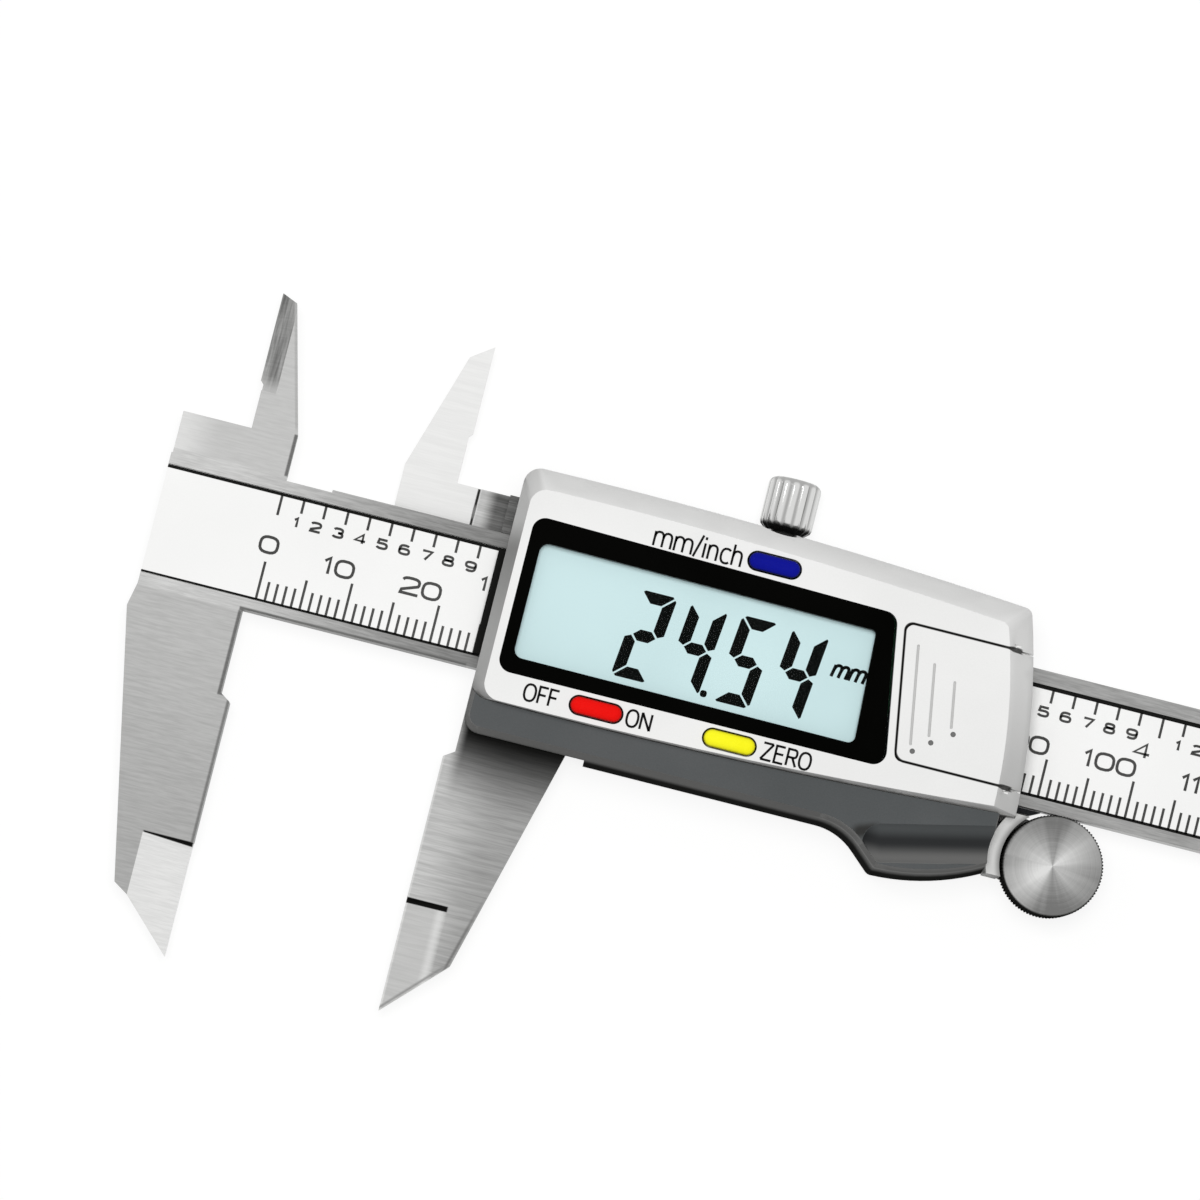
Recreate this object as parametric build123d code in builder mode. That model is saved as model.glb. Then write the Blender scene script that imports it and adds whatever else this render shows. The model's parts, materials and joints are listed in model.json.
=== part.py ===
"""Digital caliper, 150 mm: every separate piece as its own solid, in millimetres.

X runs along the beam towards its free end, Y towards the inside jaws, and Z out
of the display. The origin lies on the back face of the beam, under the zero line
of the scale (the fixed measuring face) and half way across the beam.
The slider is drawn where the jaws are open by `reading`.
"""
from build123d import *
import math
import os

os.makedirs("parts", exist_ok=True)


def finish(piece, name):
    """Name a finished piece and write it as one STEP file."""
    piece.part.label = name
    export_step(piece.part, f"parts/{name}.step")


# ---------------------------------------------------------------------------
# Driving dimensions
# ---------------------------------------------------------------------------
reading = 24.54              # opening of the jaws as the caliper stands
measuring_range = 150.0      # largest opening that the scale reads
overtravel = 2.0             # what the slider can do beyond that, up to the end stop
running_gap = 0.05           # between sliding steel faces
fit_gap = 0.1                # between moulded pieces that sit in one another
screw_gap = 0.05             # round the shank of a screw
past = 1.0                   # how far cutters run past a face, and joined forms into one another

# Beam and the fixed jaws
beam_width = 15.4
beam_thickness = 3.8
head_left = -13.2            # left end of the beam
head_relief = 0.3            # the top edge is this much lower behind the inside jaws
head_relief_length = 5.3     # how far that relief runs past the zero line
head_block_inset = 0.15      # the upper block stands in this much from the left end
beam_overhang = 3.2          # beam beyond the roller when the slider is at its stop
scale_width = 12.5           # recess for the scale on the front of the beam
scale_offset = -0.15         # middle of that recess, measured across the beam
scale_recess = 0.8
scale_board_thickness = 0.5
scale_label_thickness = 0.15

# Outside jaws
jaw_tip_y = -47.3
jaw_root_relief = 1.2        # the faces stand back this much beside the beam
jaw_relief_y = -17.3         # where that relief ends
jaw_relief_slope = 0.8
fixed_jaw_back = -13.75      # widest place of the fixed jaw
fixed_jaw_back_y = -10.4
fixed_shoulder = (-7.4, -40.6)
fixed_shoulder_flat = (-5.8, -41.6)
moving_jaw_root = 12.4       # width of the moving jaw where it leaves the frame
moving_shoulder = (6.5, -40.6)
knife_length = 13.0          # thinned end of an outside jaw
fixed_knife_width = 5.7
moving_knife_width = 4.7
knife_depth = 1.1            # taken off each side at the measuring face

# Inside jaws
inside_edge = 5.6            # the knife edges lie this far left of the faces
inside_tip_y = 27.95
inside_shoulder_y = 12.7     # where the flanks begin to lean
inside_land_y = 17.8         # the knife edge runs from here to the tip
inside_relief = 0.4
inside_bevel = 2.1
inside_knife = 0.15          # thickness left at the knife edge
inside_knife_start = 1.2     # the bevel begins this far below the edge
fixed_inside_tip = (1.85, 0.9)     # cut off the outer corner of each tip: along and down
moving_inside_tip = (2.5, 1.8)
inside_back = 12.2           # width of the moving jaw at its root, along X
head_block_top = 12.2
arm_top = 12.05
arm_step = 0.15              # the arm has its full thickness from here to the frame
arm_groove = 3.4             # groove across the arm, left of the measuring face
groove_width = 0.35
groove_depth = 0.5
groove_length = 3.2

# Slider frame, its gib and the back plate
frame_left = 1.36            # all X positions on the slider count from its face
frame_right = 57.9
frame_bottom = -13.2
frame_top_left = 13.3
frame_top_right = 11.5
frame_front_wall = 1.0
frame_corner = (3.0, 2.0)    # cut off the lower right corner
window_left = 9.0
window_right = 41.0
window_half = 5.6
gib_thickness = 0.9
gib_slack = 0.3
gib_left = 2.6
gib_right = 56.0
gib_inset = 0.3              # the gib is this much narrower than the beam on each face
gib_dimple = 0.35
gib_screws_at = (12.0, 49.0)
gib_screw_r = 1.25
gib_screw_depth = 0.3        # below the frame's top edge
gib_slot = (0.4, 0.7)        # width and depth
back_plate_thickness = 1.1
back_plate_left = 1.9
back_plate_right = 57.6
back_plate_bottom = -11.2
back_plate_inset = 0.3       # inside the frame's top edge
back_plate_step = 2.8        # it ends this far left of the bracket's screws, low down
back_plate_corner = 0.5

# Lock screw
lock_x = 30.87
lock_shank_r = 1.5
lock_knob_r = 3.0
lock_knob_y = 15.55
lock_knob_height = 6.1
lock_flutes = 20
lock_flute = 0.42            # side of the square that cuts each flute, on its corner
lock_flute_out = 0.05        # centres of the flutes outside the knob's radius
lock_knob_edge = 0.7         # chamfer of the top edge
lock_knob_taper = 0.7        # chamfer of the underside

# Casing: front cover and lower body
casing_front = 11.8          # height of the cover's face above the beam's back
casing_shoulder = 9.0        # height where its sloping edges begin
casing_wall = 0.6
casing_face_wall = 1.3
casing_left = 2.5            # edges of the face
casing_right = 58.93         # at the middle of the beam
casing_lean = 9.3            # degrees, lean of the right end
casing_top_left = 12.87
casing_top_right = 11.05
casing_bottom_left = -11.1
casing_bottom_right = -8.95
casing_crown = 0.7           # bow of the long edges
casing_corner = 1.9
casing_right_corner = 1.0
left_band = 1.25             # width of the sloping edges
top_band = 2.4
right_band = 2.75
right_bow = 0.8              # bow of the leaning right end
right_foot = 0.3             # the sloping end reaches this much lower at its foot
skirt_bottom = 0.4
scoop_r = 8.0                # finger scoop under the lock knob
scoop_depth = 0.4
skirt_gap = 0.3
boss_r = 1.4
wiper_width = 0.95
wiper_inset = 0.3            # it is narrower than the scale's recess by this, each side
wiper_thickness = 1.0

body_left = 0.85
body_bottom = -15.25
body_back = 0.3
body_front = 10.2
body_corner = 2.2
body_draft = 5.5             # degrees
body_notch = 15.4            # the body wraps round the frame right of here
body_cheek_y = -7.2
thumb_start = 42.2
thumb_slope = 42.0           # degrees
thumb_low = (49.2, -19.15)
thumb_end = (62.2, -15.6)
thumb_crown = 0.9
thumb_corner = 1.0
hollow_r = 2.5
hollow_depth = 1.25
hollow_y = -15.9              # middle of the hollow at its left end
hollow_start = 49.4
hollow_turn = 13.0            # it climbs to the right, along the body's lower edge

# Display
lens_left = 3.5
lens_top_left = 9.8
lens_top_right = 9.0
lens_bottom = -7.75
lens_right = 46.45           # at the middle of the beam
lens_thickness = 1.15
lens_corner = 1.5
lens_edge = 0.12
lcd_left = 4.3
lcd_right = 43.9
lcd_top = 7.9
lcd_bottom = -6.9
lcd_thickness = 2.0
lcd_clearance = 0.15         # behind the window's seat
holder_wall = 0.9
holder_ledge = 1.0
holder_corner = 0.6
board_thickness = 0.8
board_right = 46.9
connector_width = 1.3
connector_end = 0.5
chip_size = 8.0
chip_thickness = 1.0
chip_corner = 0.5
chip_edge = 0.2

# Buttons
button_length = 6.0
button_width = 2.1
button_rise = 0.6
button_travel = 0.5
button_edge = 0.3
button_flange = 0.5
button_flange_thickness = 0.8
button_flange_width = 1.3
button_stem_r = 0.7
unit_button = (30.45, 10.95)
power_button = (15.2, -9.4)
zero_button = (30.35, -9.3)
switch_height = 1.5
switch_size = (3.0, 1.1)

# Battery and its cover
battery_r = 5.8
battery_height = 5.3
battery_edge = 0.4
battery_cap_inset = 0.9      # the negative cap is this much smaller in radius
battery_cap_height = 0.6
battery_place = (53.4, 0.9)
battery_room = 0.2
contact_thickness = 0.15
contact_size = (8.0, 3.0)
contact_corner = 0.8
leaf_gap = 0.03
leaf_angles = (150, 210)
leaf_height = 3.5
cover_left = 47.55           # at the middle of the beam
cover_top = 8.35
cover_bottom = -6.55
cover_tongue = 0.5
cover_gap = 0.2
cover_tongue_height = 0.45
cover_end_inset = 0.75
cover_corner = 0.9
grip_depth = 0.2
grip_width = 0.3
grip_dot = (0.35, 0.5)       # centre of the dot, right of and below the line's end
grip_lines = ((48.0, 6.4, 11.2), (50.25, 4.8, 8.2), (52.9, 3.4, 5.3))

# Depth rod and end stop
rod_width = 3.0
rod_thickness = 1.5
rod_root = 46.0
rod_root_length = 6.0
rod_gap = 0.1
rod_groove_end = 1.0         # room left of the rod in the beam's groove
rod_screw_skin = 0.3         # steel left over the rod's screw
rod_tip_cut = (4.0, 1.2)     # relief at the tip: along and across
stop_length = 7.0
stop_width = 13.0
stop_thickness = 0.8
stop_corner = 0.8

# Thumb roller
roller_r = 5.7
roller_x = 68.75
roller_clearance = 0.06      # between the rim and the beam
roller_thickness = 5.8
roller_bottom = 0.15
roller_edge = 0.35
roller_flutes = 48
roller_flute = 0.3           # side of the square that cuts each flute, on its corner
roller_flute_out = 0.02      # centres of the flutes outside the rim
roller_skin = 1.4            # steel left in front of the bore
axle_r = 1.25
axle_end_gap = 0.2
axle_boss_r = 4.2
bracket_r = 7.5              # outside of the curved guard
bracket_top = 6.4
bracket_margin = 2.5         # plate left of the first screw
bracket_overlap = 0.9        # plate above the frame's lower edge
guard_gap = 0.3
guard_spring_gap = 0.35      # between the guard and the spring
guard_reach = 2.59           # how far the guard runs below the roller's centre
spring_bottom = 0.6
spring_width = 2.6
spring_thickness = 0.6
spring_length = 8.4
spring_point = 1.2

# Screws
screw_r = 0.8
screw_head_r = 1.6
screw_tip_room = 0.2
screw_slot = (1.9, 0.35, 0.5)      # length, width and depth
case_screw_tip = 9.4         # heights that the tips reach
plate_screw_tip = 3.2
body_screw_tip = 8.4
stop_screw_tip = 2.0
bracket_screw_tip = 3.2
case_screws_at = ((5.8, 11.1), (54.0, 10.35), (6.0, -9.6), (44.6, -9.35))
plate_screws_at = ((20.0, 11.0), (30.0, -9.6))
body_screws_at = ((20.0, -12.3), (46.5, -12.3))
stop_screws_at = 4.3         # either side of the middle
bracket_screws_at = ((51.5, -9.6), (55.5, -9.6))

# ---------------------------------------------------------------------------
# Places that follow from them
# ---------------------------------------------------------------------------
face_x = reading                                  # moving measuring face
beam_half = beam_width / 2
mid_z = beam_thickness / 2
travel = measuring_range + overtravel - reading
slider_back = -running_gap
frame_inner = beam_thickness + running_gap        # floor of the frame's channel
frame_front = frame_inner + frame_front_wall
channel_bottom = -beam_half - running_gap
gib_bottom = beam_half + running_gap
gib_top = gib_bottom + gib_thickness
channel_top = gib_top + gib_slack
plate_back = slider_back - back_plate_thickness
recess_floor = beam_thickness - scale_recess
casing_back = frame_front + running_gap
cavity_top = casing_front - casing_face_wall
lean = math.tan(math.radians(casing_lean))
board_back = casing_back
board_front = board_back + board_thickness
roller_y = -beam_half - roller_clearance - roller_r
spring_top = channel_bottom - fit_gap
guard_top = spring_top - spring_thickness - guard_spring_gap
guard_bottom = roller_y - guard_reach
stop_x = face_x + back_plate_right + travel
beam_end = face_x + roller_x + travel + beam_overhang
rod_tip = beam_end + reading
beyond = beam_end                                 # runs safely outside everything
rod_back = 2 * rod_gap
rod_front = rod_back + rod_thickness
groove_left = rod_root - rod_groove_end
rod_screw_tip = rod_front - rod_screw_skin
roller_place = (face_x + roller_x, roller_y)
label_back = recess_floor + scale_board_thickness
casing_share = (lock_x - casing_left) / (casing_right - casing_left)
casing_top_at_lock = (
    casing_top_left
    + casing_share * (casing_top_right - casing_top_left)
    + 4 * casing_crown * casing_share * (1 - casing_share)
    + top_band
)
scoop_y = casing_top_at_lock - scoop_depth + scoop_r


def on_slider(places):
    """Places given from the moving measuring face, in the caliper's frame."""
    return [(face_x + x, y) for x, y in places]


# ---------------------------------------------------------------------------
# Screws
# ---------------------------------------------------------------------------
def back_screw(head_z, tip_z):
    """A countersunk screw on the Z axis, driven from the back, with a cross slot."""
    head_height = screw_head_r - screw_r
    with BuildPart() as screw:
        with BuildSketch(Plane.XZ):
            with BuildLine():
                Polyline(
                    (0, head_z),
                    (screw_head_r, head_z),
                    (screw_r, head_z + head_height),
                    (screw_r, tip_z),
                    (0, tip_z),
                    close=True,
                )
            make_face()
        revolve(axis=Axis.Z)
        with BuildSketch(Plane.XY.offset(head_z)):
            for turn in (0, 90):
                Rectangle(screw_slot[0], screw_slot[1], rotation=turn)
        extrude(amount=screw_slot[2], mode=Mode.SUBTRACT)
    return screw.part


def back_screw_hole(head_z, tip_z):
    """The room that such a screw needs, with its clearance."""
    head_height = screw_head_r - screw_r
    with BuildPart() as room:
        with BuildSketch(Plane.XZ):
            with BuildLine():
                Polyline(
                    (0, head_z - past),
                    (screw_head_r + screw_gap, head_z - past),
                    (screw_head_r + screw_gap, head_z),
                    (screw_r + screw_gap, head_z + head_height),
                    (screw_r + screw_gap, tip_z + screw_tip_room),
                    (0, tip_z + screw_tip_room),
                    close=True,
                )
            make_face()
        revolve(axis=Axis.Z)
    return room.part


case_screw_room = back_screw_hole(plate_back, case_screw_tip)
plate_screw_room = back_screw_hole(plate_back, plate_screw_tip)
body_screw_room = back_screw_hole(slider_back, body_screw_tip)
stop_screw_room = back_screw_hole(-stop_thickness, stop_screw_tip)
bracket_screw_room = back_screw_hole(plate_back, bracket_screw_tip)

stop_screw_places = [
    (stop_x + stop_length / 2, stop_screws_at),
    (stop_x + stop_length / 2, -stop_screws_at),
]

with BuildPart() as case_screws:
    with Locations(*on_slider(case_screws_at)):
        add(back_screw(plate_back, case_screw_tip))
finish(case_screws, "case_screws")

with BuildPart() as back_plate_screws:
    with Locations(*on_slider(plate_screws_at)):
        add(back_screw(plate_back, plate_screw_tip))
finish(back_plate_screws, "back_plate_screws")

with BuildPart() as lower_body_screws:
    with Locations(*on_slider(body_screws_at)):
        add(back_screw(slider_back, body_screw_tip))
finish(lower_body_screws, "lower_body_screws")

with BuildPart() as bracket_screws:
    with Locations(*on_slider(bracket_screws_at)):
        add(back_screw(plate_back, bracket_screw_tip))
finish(bracket_screws, "bracket_screws")

# ---------------------------------------------------------------------------
# Beam with its fixed jaws
# ---------------------------------------------------------------------------
def knife_cut(edge_x, width, depth, side):
    """Two slanting cuts that thin the end of an outside jaw to a narrow face.

    side is +1 where the jaw lies to the left of its face, -1 to the right.
    """
    far_depth = depth * (width + past) / width
    with BuildPart() as cut:
        with BuildSketch(Plane.XZ.offset(-jaw_tip_y + past)):
            for face_z, outwards in ((beam_thickness, 1), (0, -1)):
                with BuildLine():
                    Polyline(
                        (edge_x - side * width, face_z),
                        (edge_x + side * past, face_z - outwards * far_depth),
                        (edge_x + side * past, face_z + outwards * past),
                        (edge_x - side * width, face_z + outwards * past),
                        close=True,
                    )
                make_face()
        extrude(amount=-(knife_length + past))
    return cut.part


with BuildPart() as beam:
    with BuildSketch():
        with BuildLine():
            Polyline(
                (head_left, beam_half - head_relief),
                (head_relief_length, beam_half - head_relief),
                (head_relief_length, beam_half),
                (beam_end, beam_half),
                (beam_end, -beam_half),
                (-jaw_root_relief, -beam_half),
                (-jaw_root_relief, jaw_relief_y),
                (0, jaw_relief_y - jaw_relief_slope),
                (0, jaw_tip_y),
                fixed_shoulder_flat,
                fixed_shoulder,
                (fixed_jaw_back, fixed_jaw_back_y),
                (head_left, -beam_half),
                close=True,
            )
        make_face()
    extrude(amount=beam_thickness)
    # The upper block and inside jaw are the front half of the thickness, so that
    # the moving inside jaw passes behind them.
    with BuildSketch(Plane.XY.offset(mid_z + running_gap)):
        with BuildLine():
            Polyline(
                (head_left + head_block_inset, beam_half - past),
                (head_left + head_block_inset, head_block_top),
                (-inside_edge + inside_relief, head_block_top),
                (-inside_edge + inside_relief, inside_land_y - inside_relief),
                (-inside_edge, inside_land_y),
                (-inside_edge, inside_tip_y),
                (-inside_edge + fixed_inside_tip[0], inside_tip_y - fixed_inside_tip[1]),
                (0, inside_shoulder_y),
                (0, beam_half - past),
                close=True,
            )
        make_face()
    extrude(amount=mid_z - running_gap)
    # Knife edge of the inside jaw, ground on the front
    with BuildSketch(Plane.XZ.offset(-(inside_land_y - inside_knife_start))):
        with BuildLine():
            Polyline(
                (-inside_edge - past, mid_z + running_gap + inside_knife),
                (-inside_edge, mid_z + running_gap + inside_knife),
                (-inside_edge + inside_bevel, beam_thickness),
                (-inside_edge + inside_bevel, beam_thickness + past),
                (-inside_edge - past, beam_thickness + past),
                close=True,
            )
        make_face()
    extrude(amount=-inside_tip_y, mode=Mode.SUBTRACT)
    add(knife_cut(0, fixed_knife_width, knife_depth, 1), mode=Mode.SUBTRACT)
    # Recess for the scale, open at both ends
    with BuildSketch(Plane.XY.offset(recess_floor)):
        with Locations(((head_left + beam_end) / 2, scale_offset)):
            Rectangle(beam_end - head_left + 2 * past, scale_width)
    extrude(amount=scale_recess + past, mode=Mode.SUBTRACT)
    # Groove for the depth rod, open at the free end
    with BuildSketch():
        with Locations((groove_left, 0)):
            Rectangle(
                beam_end - groove_left + past,
                rod_width + 2 * rod_gap,
                align=(Align.MIN, Align.CENTER),
            )
    extrude(amount=rod_front + rod_gap, mode=Mode.SUBTRACT)
    # Tapped holes for the end stop
    with Locations(*stop_screw_places):
        add(stop_screw_room, mode=Mode.SUBTRACT)
finish(beam, "beam")

with BuildPart() as scale_board:
    with BuildSketch(Plane.XY.offset(recess_floor)):
        with Locations(((head_left + beam_end) / 2, scale_offset)):
            Rectangle(beam_end - head_left, scale_width - 2 * running_gap)
    extrude(amount=scale_board_thickness)
finish(scale_board, "scale_board")

with BuildPart() as scale_label:
    with BuildSketch(Plane.XY.offset(label_back)):
        with Locations(((head_left + beam_end) / 2, scale_offset)):
            Rectangle(beam_end - head_left, scale_width - 2 * running_gap)
    extrude(amount=scale_label_thickness)
finish(scale_label, "scale_label")


with BuildPart() as end_stop_screws:
    with Locations(*stop_screw_places):
        add(back_screw(-stop_thickness, stop_screw_tip))
finish(end_stop_screws, "end_stop_screws")

with BuildPart() as end_stop:
    with BuildSketch(Plane.XY.offset(-stop_thickness)):
        with Locations((stop_x + stop_length / 2, 0)):
            RectangleRounded(stop_length, stop_width, stop_corner)
    extrude(amount=stop_thickness)
    with Locations(*stop_screw_places):
        add(stop_screw_room, mode=Mode.SUBTRACT)
finish(end_stop, "end_stop")

# ---------------------------------------------------------------------------
# Slider frame with the moving jaws
# ---------------------------------------------------------------------------
def frame_top(x):
    """Height of the frame's sloping top edge at x on the slider."""
    share = (x - frame_left) / (frame_right - frame_left)
    return frame_top_left + share * (frame_top_right - frame_top_left)


with BuildPart() as slider_frame:
    with BuildSketch(Plane.XY.offset(slider_back)):
        with BuildLine():
            Polyline(
                (face_x + frame_left, frame_bottom),
                (face_x + frame_left, frame_top_left),
                (face_x + frame_right, frame_top_right),
                (face_x + frame_right, frame_bottom + frame_corner[1]),
                (face_x + frame_right - frame_corner[0], frame_bottom),
                close=True,
            )
        make_face()
    extrude(amount=frame_front - slider_back)
    # Channel for the beam and the gib, open at the back
    with BuildSketch(Plane.XY.offset(slider_back)):
        with Locations((face_x, channel_bottom)):
            Rectangle(
                frame_right + past,
                channel_top - channel_bottom,
                align=(Align.MIN, Align.MIN),
            )
    extrude(amount=frame_inner - slider_back, mode=Mode.SUBTRACT)
    # Window through which the sensor faces the scale
    with BuildSketch(Plane.XY.offset(frame_inner)):
        with Locations((face_x + window_left, -window_half)):
            Rectangle(
                window_right - window_left, 2 * window_half, align=(Align.MIN, Align.MIN)
            )
    extrude(amount=frame_front_wall, mode=Mode.SUBTRACT)
    # Arm and inside jaw: the back half of the thickness
    with BuildSketch():
        with BuildLine():
            Polyline(
                (face_x - inside_back, beam_half + running_gap),
                (face_x - inside_back, inside_shoulder_y),
                (
                    face_x - inside_edge - moving_inside_tip[0],
                    inside_tip_y - moving_inside_tip[1],
                ),
                (face_x - inside_edge, inside_tip_y),
                (face_x - inside_edge, inside_land_y),
                (face_x - inside_edge - inside_relief, inside_land_y - inside_relief),
                (face_x - inside_edge - inside_relief, arm_top),
                (face_x + frame_left, arm_top),
                (face_x + frame_left, beam_half + running_gap),
                close=True,
            )
        make_face()
    extrude(amount=mid_z - running_gap)
    # Full thickness of the arm, just right of the measuring face
    with BuildSketch():
        with Locations((face_x + arm_step, beam_half + running_gap)):
            Rectangle(
                frame_left - arm_step,
                arm_top - beam_half - running_gap,
                align=(Align.MIN, Align.MIN),
            )
    extrude(amount=beam_thickness)
    # Groove across the arm
    with BuildSketch(Plane.XY.offset(mid_z - running_gap - groove_depth)):
        with Locations((face_x - arm_groove, arm_top)):
            Rectangle(groove_width, groove_length, align=(Align.CENTER, Align.MAX))
    extrude(amount=past, mode=Mode.SUBTRACT)
    # Knife edge of the inside jaw, ground on the back
    with BuildSketch(Plane.XZ.offset(-(inside_land_y - inside_knife_start))):
        with BuildLine():
            Polyline(
                (face_x - inside_edge + past, mid_z - running_gap - inside_knife),
                (face_x - inside_edge, mid_z - running_gap - inside_knife),
                (face_x - inside_edge - inside_bevel, 0),
                (face_x - inside_edge - inside_bevel, -past),
                (face_x - inside_edge + past, -past),
                close=True,
            )
        make_face()
    extrude(amount=-inside_tip_y, mode=Mode.SUBTRACT)
    # Outside jaw
    with BuildSketch():
        with BuildLine():
            Polyline(
                (face_x + jaw_root_relief, channel_bottom),
                (face_x + jaw_root_relief, jaw_relief_y),
                (face_x, jaw_relief_y - jaw_relief_slope),
                (face_x, jaw_tip_y),
                (face_x + moving_shoulder[0], moving_shoulder[1]),
                (face_x + jaw_root_relief + moving_jaw_root, frame_bottom),
                (face_x + jaw_root_relief + moving_jaw_root, channel_bottom),
                close=True,
            )
        make_face()
    extrude(amount=beam_thickness)
    add(knife_cut(face_x, moving_knife_width, knife_depth, -1), mode=Mode.SUBTRACT)
    # Tapped hole for the lock screw, and two for the gib screws
    with BuildSketch(Plane.XZ.offset(-channel_top)):
        with Locations((face_x + lock_x, mid_z)):
            Circle(lock_shank_r + running_gap)
        with Locations(*[(face_x + x, mid_z) for x in gib_screws_at]):
            Circle(gib_screw_r + screw_gap)
    extrude(amount=-beyond, mode=Mode.SUBTRACT)
    with Locations(*on_slider(case_screws_at)):
        add(case_screw_room, mode=Mode.SUBTRACT)
    with Locations(*on_slider(plate_screws_at)):
        add(plate_screw_room, mode=Mode.SUBTRACT)
    with Locations(*on_slider(body_screws_at)):
        add(body_screw_room, mode=Mode.SUBTRACT)
    with Locations(*on_slider(bracket_screws_at)):
        add(bracket_screw_room, mode=Mode.SUBTRACT)
finish(slider_frame, "slider_frame")

with BuildPart() as gib_strip:
    with BuildSketch(Plane.XZ.offset(-gib_bottom)):
        with Locations((face_x + gib_left, mid_z)):
            Rectangle(
                gib_right - gib_left,
                beam_thickness - 2 * gib_inset,
                align=(Align.MIN, Align.CENTER),
            )
    extrude(amount=-gib_thickness)
    # Dimple for the tip of the lock screw
    with BuildSketch(Plane.XZ.offset(-(gib_top - gib_dimple))):
        with Locations((face_x + lock_x, mid_z)):
            Circle(lock_shank_r + running_gap)
    extrude(amount=-past, mode=Mode.SUBTRACT)
finish(gib_strip, "gib_strip")

gib_screw_top = frame_top_right - gib_screw_depth
with BuildPart() as gib_screws:
    with BuildSketch(Plane.XZ.offset(-channel_top)):
        with Locations(*[(face_x + x, mid_z) for x in gib_screws_at]):
            Circle(gib_screw_r)
    extrude(amount=-(gib_screw_top - channel_top))
    with BuildSketch(Plane.XZ.offset(-(gib_screw_top - gib_slot[1]))):
        with Locations(*[(face_x + x, mid_z) for x in gib_screws_at]):
            Rectangle(2 * gib_screw_r, gib_slot[0])
    extrude(amount=-past, mode=Mode.SUBTRACT)
finish(gib_screws, "gib_screws")

lock_axis_x = face_x + lock_x
lock_tip_y = gib_top - gib_dimple + running_gap
with BuildPart() as lock_screw:
    # Knob with chamfered edges
    with BuildSketch(Plane.XY.offset(mid_z)):
        with BuildLine():
            Polyline(
                (lock_axis_x, lock_tip_y),
                (lock_axis_x + lock_shank_r, lock_tip_y),
                (lock_axis_x + lock_shank_r, lock_knob_y),
                (lock_axis_x + lock_knob_r - lock_knob_taper, lock_knob_y),
                (lock_axis_x + lock_knob_r, lock_knob_y + lock_knob_taper),
                (lock_axis_x + lock_knob_r, lock_knob_y + lock_knob_height),
                (lock_axis_x, lock_knob_y + lock_knob_height),
                close=True,
            )
        make_face()
    revolve(axis=Axis((lock_axis_x, 0, mid_z), (0, 1, 0)))
    chamfer(edges().group_by(Axis.Y)[-1], lock_knob_edge)
    with BuildSketch(Plane.XZ.offset(-lock_knob_y)):
        with Locations((lock_axis_x, mid_z)):
            with PolarLocations(lock_knob_r + lock_flute_out, lock_flutes):
                Rectangle(lock_flute, lock_flute, rotation=45)
    extrude(amount=-lock_knob_height, mode=Mode.SUBTRACT)
finish(lock_screw, "lock_screw")

bracket_plate_left = bracket_screws_at[0][0] - bracket_margin
bracket_plate_top = channel_bottom + fit_gap
back_plate_step_x = face_x + bracket_screws_at[0][0] - back_plate_step
rod_screw_place = (face_x + rod_root + rod_root_length / 2, 0)
rod_screw_room = back_screw_hole(plate_back, rod_screw_tip)
with BuildPart() as back_plate:
    with BuildSketch(Plane.XY.offset(plate_back)):
        with BuildLine():
            Polyline(
                (face_x + back_plate_left, back_plate_bottom),
                (face_x + back_plate_left, frame_top_left - back_plate_inset),
                (face_x + back_plate_right, frame_top_right - back_plate_inset),
                (face_x + back_plate_right, bracket_plate_top + fit_gap),
                (back_plate_step_x, bracket_plate_top + fit_gap),
                (back_plate_step_x, back_plate_bottom),
                close=True,
            )
        make_face()
        fillet(vertices(), back_plate_corner)
    extrude(amount=back_plate_thickness)
    with Locations(*on_slider(case_screws_at)):
        add(case_screw_room, mode=Mode.SUBTRACT)
    with Locations(*on_slider(plate_screws_at)):
        add(plate_screw_room, mode=Mode.SUBTRACT)
    with Locations(rod_screw_place):
        add(rod_screw_room, mode=Mode.SUBTRACT)
finish(back_plate, "back_plate")

# ---------------------------------------------------------------------------
# Depth rod, screwed to the back plate
# ---------------------------------------------------------------------------
with BuildPart() as depth_rod:
    with BuildSketch(Plane.XY.offset(rod_back)):
        with Locations((face_x + rod_root, 0)):
            Rectangle(
                rod_tip - face_x - rod_root, rod_width, align=(Align.MIN, Align.CENTER)
            )
    extrude(amount=rod_thickness)
    # Thicker root, which reaches the back plate
    with BuildSketch(Plane.XY.offset(slider_back)):
        with Locations((face_x + rod_root, 0)):
            Rectangle(rod_root_length, rod_width, align=(Align.MIN, Align.CENTER))
    extrude(amount=rod_front - slider_back)
    # Relief at the tip, so that it clears a radius in the corner of a hole
    with BuildSketch(Plane.XY.offset(rod_back)):
        with BuildLine():
            Polyline(
                (rod_tip - rod_tip_cut[0], rod_width / 2),
                (rod_tip, rod_width / 2 - rod_tip_cut[1]),
                (rod_tip, rod_width / 2),
                close=True,
            )
        make_face()
    extrude(amount=rod_thickness, mode=Mode.SUBTRACT)
    with Locations(rod_screw_place):
        add(rod_screw_room, mode=Mode.SUBTRACT)
finish(depth_rod, "depth_rod")

with BuildPart() as depth_rod_screw:
    with Locations(rod_screw_place):
        add(back_screw(plate_back, rod_screw_tip))
finish(depth_rod_screw, "depth_rod_screw")


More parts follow.
